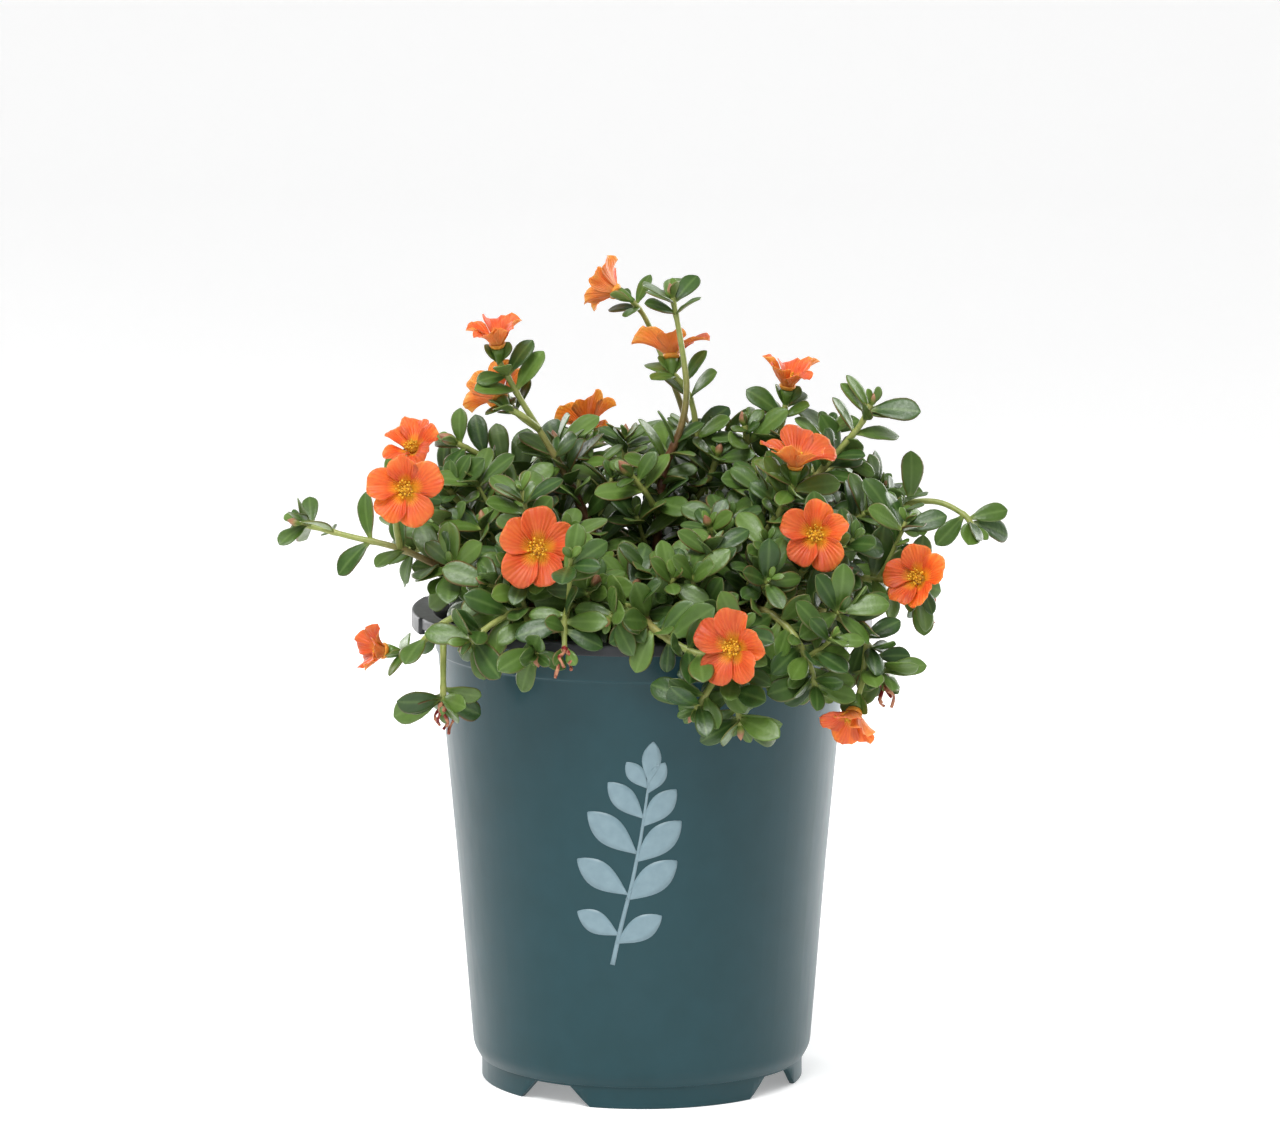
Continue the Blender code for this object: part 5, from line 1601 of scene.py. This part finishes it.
# %% Withered blooms, and what ends a run
RIBBONS = 5
RIBBON_ROWS = 9
RIBBON_AROUND = 8
RIBBON_LENGTH = (5.0, 9.5)
WITHERED_ENDS = (("stem_front_buds", 1), ("stem_left_low", 1), ("stem_right_low_flower", 1),
                 ("stem_right_hanging", 0), ("stem_back_mid_right", 0))


def add_withered(heap, base, aim, draw):
    """A spent bloom: short crumpled ribbons that hang together. Each is a tube that leaves aside, sags
    with the square of the way along, kinks by two sines, and changes its girth by another."""
    first, second = side_frame(aim)
    for k in range(RIBBONS):
        way = 2 * pi * k / RIBBONS + draw.uniform(-0.5, 0.5)
        away = first * cos(way) + second * sin(way)
        t = np.linspace(0, 1, RIBBON_ROWS)[:, None]
        length = draw.uniform(*RIBBON_LENGTH)
        droop = np.array([0, 0, -1.0]) * t ** 2 * 0.45
        kink = (first * np.sin(9 * t + way) + second * np.cos(8 * t + 2 * way)) * 0.11
        path = base + length * (aim * 0.75 * t + away * 0.4 * np.sin(2.2 * t) + droop + kink)
        girth = 0.35 + 0.65 * np.abs(np.sin(7 * t[:, 0] + way)) * (1 - 0.6 * t[:, 0])
        points = ringed(path, girth, RIBBON_AROUND)
        heap.add(points.reshape(1, -1, 3), closed_tube(RIBBON_ROWS, RIBBON_AROUND), ON_WITHERED,
                 along=np.repeat(t[:, 0], RIBBON_AROUND)[None])


def add_end(heap, name, index, path, length, draw):
    """A withered bloom, a calyx, a full bud or a young one."""
    aim = unit(length["aim"]) if length["end"] == "bloom" else end_direction(path)
    if (name, index) in WITHERED_ENDS:
        add_withered(heap, path[-1], aim, draw)
    elif length["end"] == "bloom":
        points, faces = turned_body(path[-1], aim, CALYX_PROFILE)
        heap.add(points, faces, ON_LEAF, along=0.5, across=0.5, upper=1.0, tone=0.7, red=0.0)
    elif length["end"] == "bud":
        add_bud(heap, path[-1], aim, 1.0)
    else:
        add_bud(heap, path[-1], aim, YOUNG_BUD)


print("withered blooms:", len(WITHERED_ENDS))

# %% [markdown]
# A leafy stem grew as one, so it is one piece: its leaves, its tubes and what ends its runs go into
# the same heap, each with the number of its finish. It stands for the CAD node of the same name.

# %% Every leafy stem as one piece
SHOOT_STEM = 0.95
SHOOT_TIP = 0.65
ROOT_AGE = 0.08


def make_leafy_stem(owner, name, root, lengths):
    """All leaves of a stem at once, then its runs from the root on, then its side shoots."""
    heap = Heap()
    draw = np.random.default_rng(100 + owner)
    paths = [path_of(root, index, length) for index, length in enumerate(lengths)]
    found = list(leaves[owner])
    for path, length in zip(paths, lengths):
        found += end_leaves(path, length)
    knots = np.array([leaf[0] for leaf in found]).reshape(-1, 3)
    points, values = fine_leaves(found, draw)
    heap.add(points, leaf_faces, ON_LEAF, **values)
    for index, (path, length) in enumerate(zip(paths, lengths)):
        thick = BRANCH_STEM - BRANCH_STEP * index if index else ROOT_STEM
        add_stem(heap, path, thick, TIP_STEM, knots, 0.0 if index else ROOT_AGE)
        add_end(heap, name, index, path, length, draw)
    for shooter, shoot in shoots:
        if shooter == owner:
            add_stem(heap, shoot, SHOOT_STEM, SHOOT_TIP, knots, 0.0)
    piece = heap.piece("leafy_" + name, [LEAF_SKIN, STEM_SKIN, BUD_SKIN, WITHERED])
    dress(piece, "leaf_green", name)


for owner, (name, (root, lengths)) in enumerate(STEMS.items()):
    make_leafy_stem(owner, name, root, lengths)

# %% [markdown]
# A petal is silky and thin. Its throat is yellow, its face a coral orange with fine darker veins that
# run out to the edge, and its back is paler. Light that falls on one side glows faintly on the other.

# %% Finishes of the blooms
def petal_finish():
    """Coral with darker veins, which are a sine of the way across, a yellow throat that fades along the
    petal, and a paler back. Veins and a noise give its relief."""
    made, tree, shader = finish("silky_petal", 0.5, 0.3)
    shader.inputs["Subsurface Weight"].default_value = 0.55
    shader.inputs["Subsurface Radius"].default_value = (1.0, 0.6, 0.3)
    shader.inputs["Subsurface Scale"].default_value = 0.002
    along = attribute(tree, "along")
    fan = maths(tree, "SINE", maths(tree, "MULTIPLY", attribute(tree, "vein"), 34.0))
    veins = spread(tree, fan, 0.1, 1.0, 0.0, 0.35)
    clouds = spread(tree, noise(tree, 210.0, 3.0), 0.3, 0.7)
    face = mixed(tree, clouds, screen(192, 66, 28), screen(202, 90, 42))
    face = mixed(tree, veins, face, screen(180, 58, 26))
    face = mixed(tree, spread(tree, along, 0.72, 1.0, 0.0, 0.45), face, screen(192, 66, 42))
    face = mixed(tree, spread(tree, along, 0.16, 0.50, 1.0, 0.0), face, screen(214, 148, 34))
    back = mixed(tree, clouds, screen(210, 108, 58), screen(218, 130, 80))
    back = mixed(tree, spread(tree, along, 0.05, 0.4, 1.0, 0.0), back, screen(204, 128, 62))
    paint(tree, shader, mixed(tree, attribute(tree, "inner"), back, face))
    height = maths(tree, "ADD", maths(tree, "MULTIPLY", fan, 0.4), noise(tree, 520.0, 3.0))
    emboss(tree, shader, height, 0.00022, 0.7)
    return made


def pollen_finish():
    """Two yellows in fine grains, browner where dark is high."""
    made, tree, shader = finish("pollen", 0.7, 0.25)
    grains = spread(tree, noise(tree, 1500.0, 2.0), 0.3, 0.7)
    yellow = mixed(tree, grains, screen(220, 156, 30), screen(232, 186, 58))
    paint(tree, shader, mixed(tree, attribute(tree, "dark"), yellow, screen(124, 68, 20)))
    return made


PETAL_SKIN = petal_finish()
POLLEN = pollen_finish()
print(PETAL_SKIN.name, "has", len(PETAL_SKIN.node_tree.nodes), "nodes")

# %% [markdown]
# The five petals stand on a small cup and lap like slates: each has one edge in and the other edge
# out. A petal is one sector of a flared cup, bent by a few sines of the angle round the bloom. All
# petals share these sines, so neighbours rise and fall together and seldom cut each other. Each has
# its own notch, length and lean, because no two petals of a real bloom are the same.

# %% One petal
PETAL_ROWS = 17
PETAL_COLUMNS = 15
PETAL_THICK = 0.34
PETAL_HALF_ANGLE = radians(43)
PETAL_JITTER = 0.19
PETAL_LENGTHS = (0.92, 1.05)
LEAN_JITTER = radians(18)
LEAN_WAVE = radians(15)
BROAD_RUFFLE = 1.3
MIDDLING_RUFFLE = 0.8
EDGE_RUFFLE = 0.45
CUP_AROUND = 16
CUP_PROFILE = [(0, 1.6), (0.1, 2.4), (0.9, 2.9), (1.6, 3.1), (1.55, 2.2), (1.1, 0.4)]


def sheet_normals(points):
    """Directions square to a grid of points: down its columns crossed with along its rows."""
    over = np.cross(np.gradient(points, axis=1), np.gradient(points, axis=0))
    return over / np.linalg.norm(over, axis=-1)[..., None]


def fine_petal(base, aim, spin, length, waves, draw):
    """One petal as a grid: a sector of the bloom's cup, a little wider than its fifth of the circle.
    Its outline falls off to both sides and has a notch. Its lean goes from the throat's to its edge's,
    and ruffles, sines of the angle round the bloom, grow with the square of the way out or more."""
    first, second = side_frame(aim)
    u = np.linspace(0, 1, PETAL_ROWS)[:, None]
    v = np.linspace(-1, 1, PETAL_COLUMNS)[None]
    notch = 0.05 * np.exp(-((v - draw.uniform(-0.3, 0.3)) / 0.22) ** 2)
    reach = u * (1 - 0.36 * np.abs(v) ** 2.3 - notch) * draw.uniform(*PETAL_LENGTHS)
    angle = spin + v * PETAL_HALF_ANGLE * (0.78 + 0.22 * np.minimum(1, 1.6 * u))
    angle = angle + PETAL_JITTER * draw.uniform(-1, 1) * u
    steep = opened(THROAT_LEAN, length["cup"])
    flat = opened(EDGE_LEAN, length["cup"]) + LEAN_JITTER * draw.uniform(-1, 1)
    flat = flat + LEAN_WAVE * np.sin(2 * angle + waves[0])
    lean = steep + (flat - steep) * reach
    size = PETAL_LENGTH * length["size"] * (1 + 0.05 * np.sin(2 * angle + waves[1]))
    radius = THROAT_RADIUS + size * reach * np.sin((steep + lean) / 2)
    height = THROAT_HEIGHT + size * reach * np.cos((steep + lean) / 2)
    broad = BROAD_RUFFLE * np.sin(5 * angle + waves[2])
    middling = MIDDLING_RUFFLE * np.sin(9 * angle + waves[3])
    wave = reach ** 2 * (broad + middling)
    wave = wave + EDGE_RUFFLE * reach ** 4 * np.sin(21 * angle + waves[4])
    wave = wave + 0.9 * v ** 2 * reach - 1.1 * reach ** 5
    lap = PETAL_LAP * v * np.minimum(1, 1.6 * u)
    radius = radius - (lap + wave) * np.cos(lean)
    height = height + (lap + wave) * np.sin(lean)
    around = np.cos(angle)[..., None] * first + np.sin(angle)[..., None] * second
    points = base + around * radius[..., None] + aim * height[..., None]
    return points, u * np.ones_like(v), v * np.ones_like(u)


span = 2 * np.degrees(PETAL_HALF_ANGLE)
print("a petal spans", round(span), "degrees of the bloom, and a fifth is", 360 // PETALS)

# %% Petals with two sides, and their cup
def make_petals(name, path, length, draw):
    """Five sheets, each set off to both sides of its middle by half its thickness, and their cup."""
    heap = Heap()
    aim = unit(length["aim"])
    base = bloom_base(path, length)
    waves = draw.uniform(0, 2 * pi, 5)
    for k in range(PETALS):
        middle, u, v = fine_petal(base, aim, 2 * pi * k / PETALS, length, waves, draw)
        over = sheet_normals(middle)
        thin = (PETAL_THICK / 2 * (1 - 0.6 * u ** 2))[..., None]
        both = np.stack([middle + over * thin, middle - over * thin]).reshape(1, -1, 3)
        inner = np.repeat([0.0, 1.0], u.size)[None]
        heap.add(both, closed_sheet(PETAL_ROWS, PETAL_COLUMNS), 0, inner=inner,
                 along=np.tile(u.ravel(), 2)[None], vein=np.tile(v.ravel(), 2)[None])
    cup, faces = turned_body(base, aim, CUP_PROFILE, CUP_AROUND)
    heap.add(cup, faces, 0, inner=0.5, along=0.1, vein=0.0)
    return heap.piece(name, [PETAL_SKIN])


print("faces of a petal:", len(closed_sheet(PETAL_ROWS, PETAL_COLUMNS)))

# %% [markdown]
# A tuft of stamens stands in the throat: some twenty hair-thin filaments that lean outwards, each with
# a round anther, and a taller style in their middle whose end splits in five.

# %% Threads and beads
THREAD_ROWS = 6
THREAD_AROUND = 6
BEAD_ROWS = 6
BEAD_AROUND = 8
BEAD_POLE = 0.12
BEAD_FLAT = 0.8


def add_threads(heap, starts, ends, lean, thick, first, second):
    """Thin tubes from starts to ends, bowed by lean: a straight line plus a sine of the way along."""
    t = np.linspace(0, 1, THREAD_ROWS)[None, :, None]
    path = starts[:, None] + (ends - starts)[:, None] * t + lean[:, None] * np.sin(pi * t)
    ring = circle(first, second, full_turn(THREAD_AROUND)) * thick
    points = path[:, :, None] + ring[None, None]
    heap.add(points.reshape(len(starts), -1, 3), closed_tube(THREAD_ROWS, THREAD_AROUND), 0, dark=0.0)


def add_beads(heap, places, size, aim, first, second, dark):
    """Small round bodies: rings whose radius is the sine, and height the cosine, of the way round."""
    way = np.linspace(BEAD_POLE, pi - BEAD_POLE, BEAD_ROWS)[:, None, None]
    ring = circle(first, second, full_turn(BEAD_AROUND))
    bead = -aim * np.cos(way) * BEAD_FLAT + ring[None] * np.sin(way)
    points = places[:, None, None] + bead[None] * size[:, None, None, None]
    heap.add(points.reshape(len(places), -1, 3), closed_tube(BEAD_ROWS, BEAD_AROUND), 0, dark=dark[:, None])


print("faces of an anther:", len(closed_tube(BEAD_ROWS, BEAD_AROUND)))

# %% The tuft of stamens
FILAMENTS = 22
FILAMENT_TURN = 2.4
FILAMENT_TALL = (4.4, 5.8)
FILAMENT_FOOT = 1.9
FILAMENT_THICK = 0.11
ANTHER_SIZE = (0.34, 0.48)
STYLE_TALL = 5.2
STYLE_THICK = 0.20
LOBES = 5
LOBE_THICK = 0.14
TUFT_FLOOR = [(1.55, 0.3), (1.7, 1.2), (2.0, 1.3), (2.4, 0.9), (2.6, 0.2)]
FLOOR_AROUND = 14


def make_stamens(name, path, length, draw):
    """Filaments by the golden turn, farther out with the root of their number, so that they stand evenly
    spread, with an anther on each. Then the style and its lobes, and a small floor under all of them."""
    heap = Heap()
    aim = unit(length["aim"])
    first, second = side_frame(aim)
    base = bloom_base(path, length)
    size = length["size"]
    way = np.arange(FILAMENTS) * FILAMENT_TURN + draw.uniform(-0.25, 0.25, FILAMENTS)
    out = circle(first, second, way)
    share = np.sqrt((np.arange(FILAMENTS) + 0.5) / FILAMENTS)[:, None]
    starts = base + aim * FILAMENT_FOOT + out * (0.4 + 0.9 * share)
    tall = draw.uniform(*FILAMENT_TALL, (FILAMENTS, 1)) * size
    wide = (0.5 + (1.6 + 1.3 * length["cup"]) * share) * size
    ends = base + aim * tall + out * wide
    add_threads(heap, starts, ends, out * 0.25, FILAMENT_THICK, first, second)
    add_beads(heap, ends, draw.uniform(*ANTHER_SIZE, FILAMENTS), aim, first, second,
              draw.uniform(0, 0.5, FILAMENTS))
    splay = circle(first, second, full_turn(LOBES))
    fork = base + aim * STYLE_TALL * size
    add_threads(heap, base[None] + aim * 1.7, fork[None], 0 * aim[None], STYLE_THICK, first, second)
    lobe_ends = fork + aim * 1.0 + splay * 0.9
    lobe_lean = aim * 0.1 + 0 * splay
    add_threads(heap, np.repeat(fork[None], LOBES, 0), lobe_ends, lobe_lean, LOBE_THICK, first, second)
    floor, faces = turned_body(base, aim, TUFT_FLOOR, FLOOR_AROUND)
    heap.add(floor, faces, 0, dark=0.35)
    return heap.piece(name, [POLLEN])


print("threads and beads in a bloom:", 2 * FILAMENTS + 1 + LOBES)

# %% Every bloom
blooms = [(path_of(root, index, length), length) for root, lengths in STEMS.values()
          for index, length in enumerate(lengths) if length["end"] == "bloom"]
for number, (path, length) in enumerate(blooms, 1):
    draw = np.random.default_rng(500 + number)
    cad_name = "bloom_%02d" % number
    petals = make_petals(cad_name + "_petals_silky", path, length, draw)
    dress(petals, "petal_orange", cad_name + "_petals")
    stamens = make_stamens(cad_name + "_stamens_fine", path, length, draw)
    dress(stamens, "stamen_yellow", cad_name + "_stamens")

# %% [markdown]
# The light is that of a studio: even and soft from above and in front, with a tall pale light at
# each side that draws a bright line down both edges of the pot. The floor is a plain pale sweep.

# %% The floor: depth and height of its profile, in metres
FLOOR_PROFILE = [(-3.0, 0.0), (1.6, 0.0), (2.2, 0.08), (2.6, 0.28), (2.8, 0.6), (2.9, 1.1), (2.9, 3.5)]
FLOOR_SIDES = (-4.0, 4.0)


def make_floor():
    """A flat floor that bends up into a back wall: one profile drawn out sideways."""
    points = np.array([[(across, depth, height) for across in FLOOR_SIDES]
                       for depth, height in FLOOR_PROFILE])
    heap = Heap()
    heap.add(points.reshape(1, -1, 3) / MM, grid_faces(*points.shape[:2], False))
    pale, _, shader = finish("pale_floor", 0.7, 0.2)
    shader.inputs["Base Color"].default_value = (0.88, 0.88, 0.88, 1)
    shader.inputs["Emission Color"].default_value = (1.0, 1.0, 1.0, 1)
    shader.inputs["Emission Strength"].default_value = 0.30
    return heap.piece("floor", [pale])


make_floor()
print("floor:", len(FLOOR_PROFILE), "rows")


# %% Lights
def area_light(name, place, aim, width, height, power):
    """A rectangular softbox at a place, turned to face its aim. Sizes are in metres, power in watts."""
    lamp = bpy.data.lights.new(name, "AREA")
    lamp.shape = "RECTANGLE"
    lamp.size = width
    lamp.size_y = height
    lamp.energy = power
    made = bpy.data.objects.new(name, lamp)
    made.location = place
    towards = Vector(aim) - Vector(place)
    made.rotation_euler = towards.to_track_quat("-Z", "Y").to_euler()
    bpy.context.scene.collection.objects.link(made)
    print(name, power, "W")


area_light("top_softbox", (-0.3, -0.8, 1.5), (0, 0, 0.18), 0.9, 0.8, 29)
area_light("front_softbox", (-0.7, -2.1, 0.7), (0, 0, 0.12), 1.2, 0.9, 4)
area_light("left_strip", (-0.78, 0.95, 0.25), (0, 0, 0.12), 0.5, 1.3, 11)
area_light("right_strip", (0.84, 0.82, 0.25), (0, 0, 0.12), 0.8, 1.3, 21)

world = bpy.data.worlds.new("soft_surround")
world.use_nodes = True
world.node_tree.nodes["Background"].inputs["Color"].default_value = (1.0, 1.0, 1.0, 1)
world.node_tree.nodes["Background"].inputs["Strength"].default_value = 0.46
bpy.context.scene.world = world

# %% The camera, as fitted to the pot's rim, ledge and foot
CAMERA_PLACE = (-0.0007, -2.4453, 0.58008)
CAMERA_DIP = 9.1238
LENS = 193.04
camera = bpy.data.objects.new("camera", bpy.data.cameras.new("camera"))
camera.data.sensor_width = 36.0
camera.data.lens = LENS
camera.location = CAMERA_PLACE
camera.rotation_euler = (radians(90 - CAMERA_DIP), 0, 0)
bpy.context.scene.collection.objects.link(camera)
bpy.context.scene.camera = camera
bpy.context.scene.view_settings.view_transform = "Standard"
print("camera:", round(-CAMERA_PLACE[1], 2), "m in front, dipped by", CAMERA_DIP, "degrees")
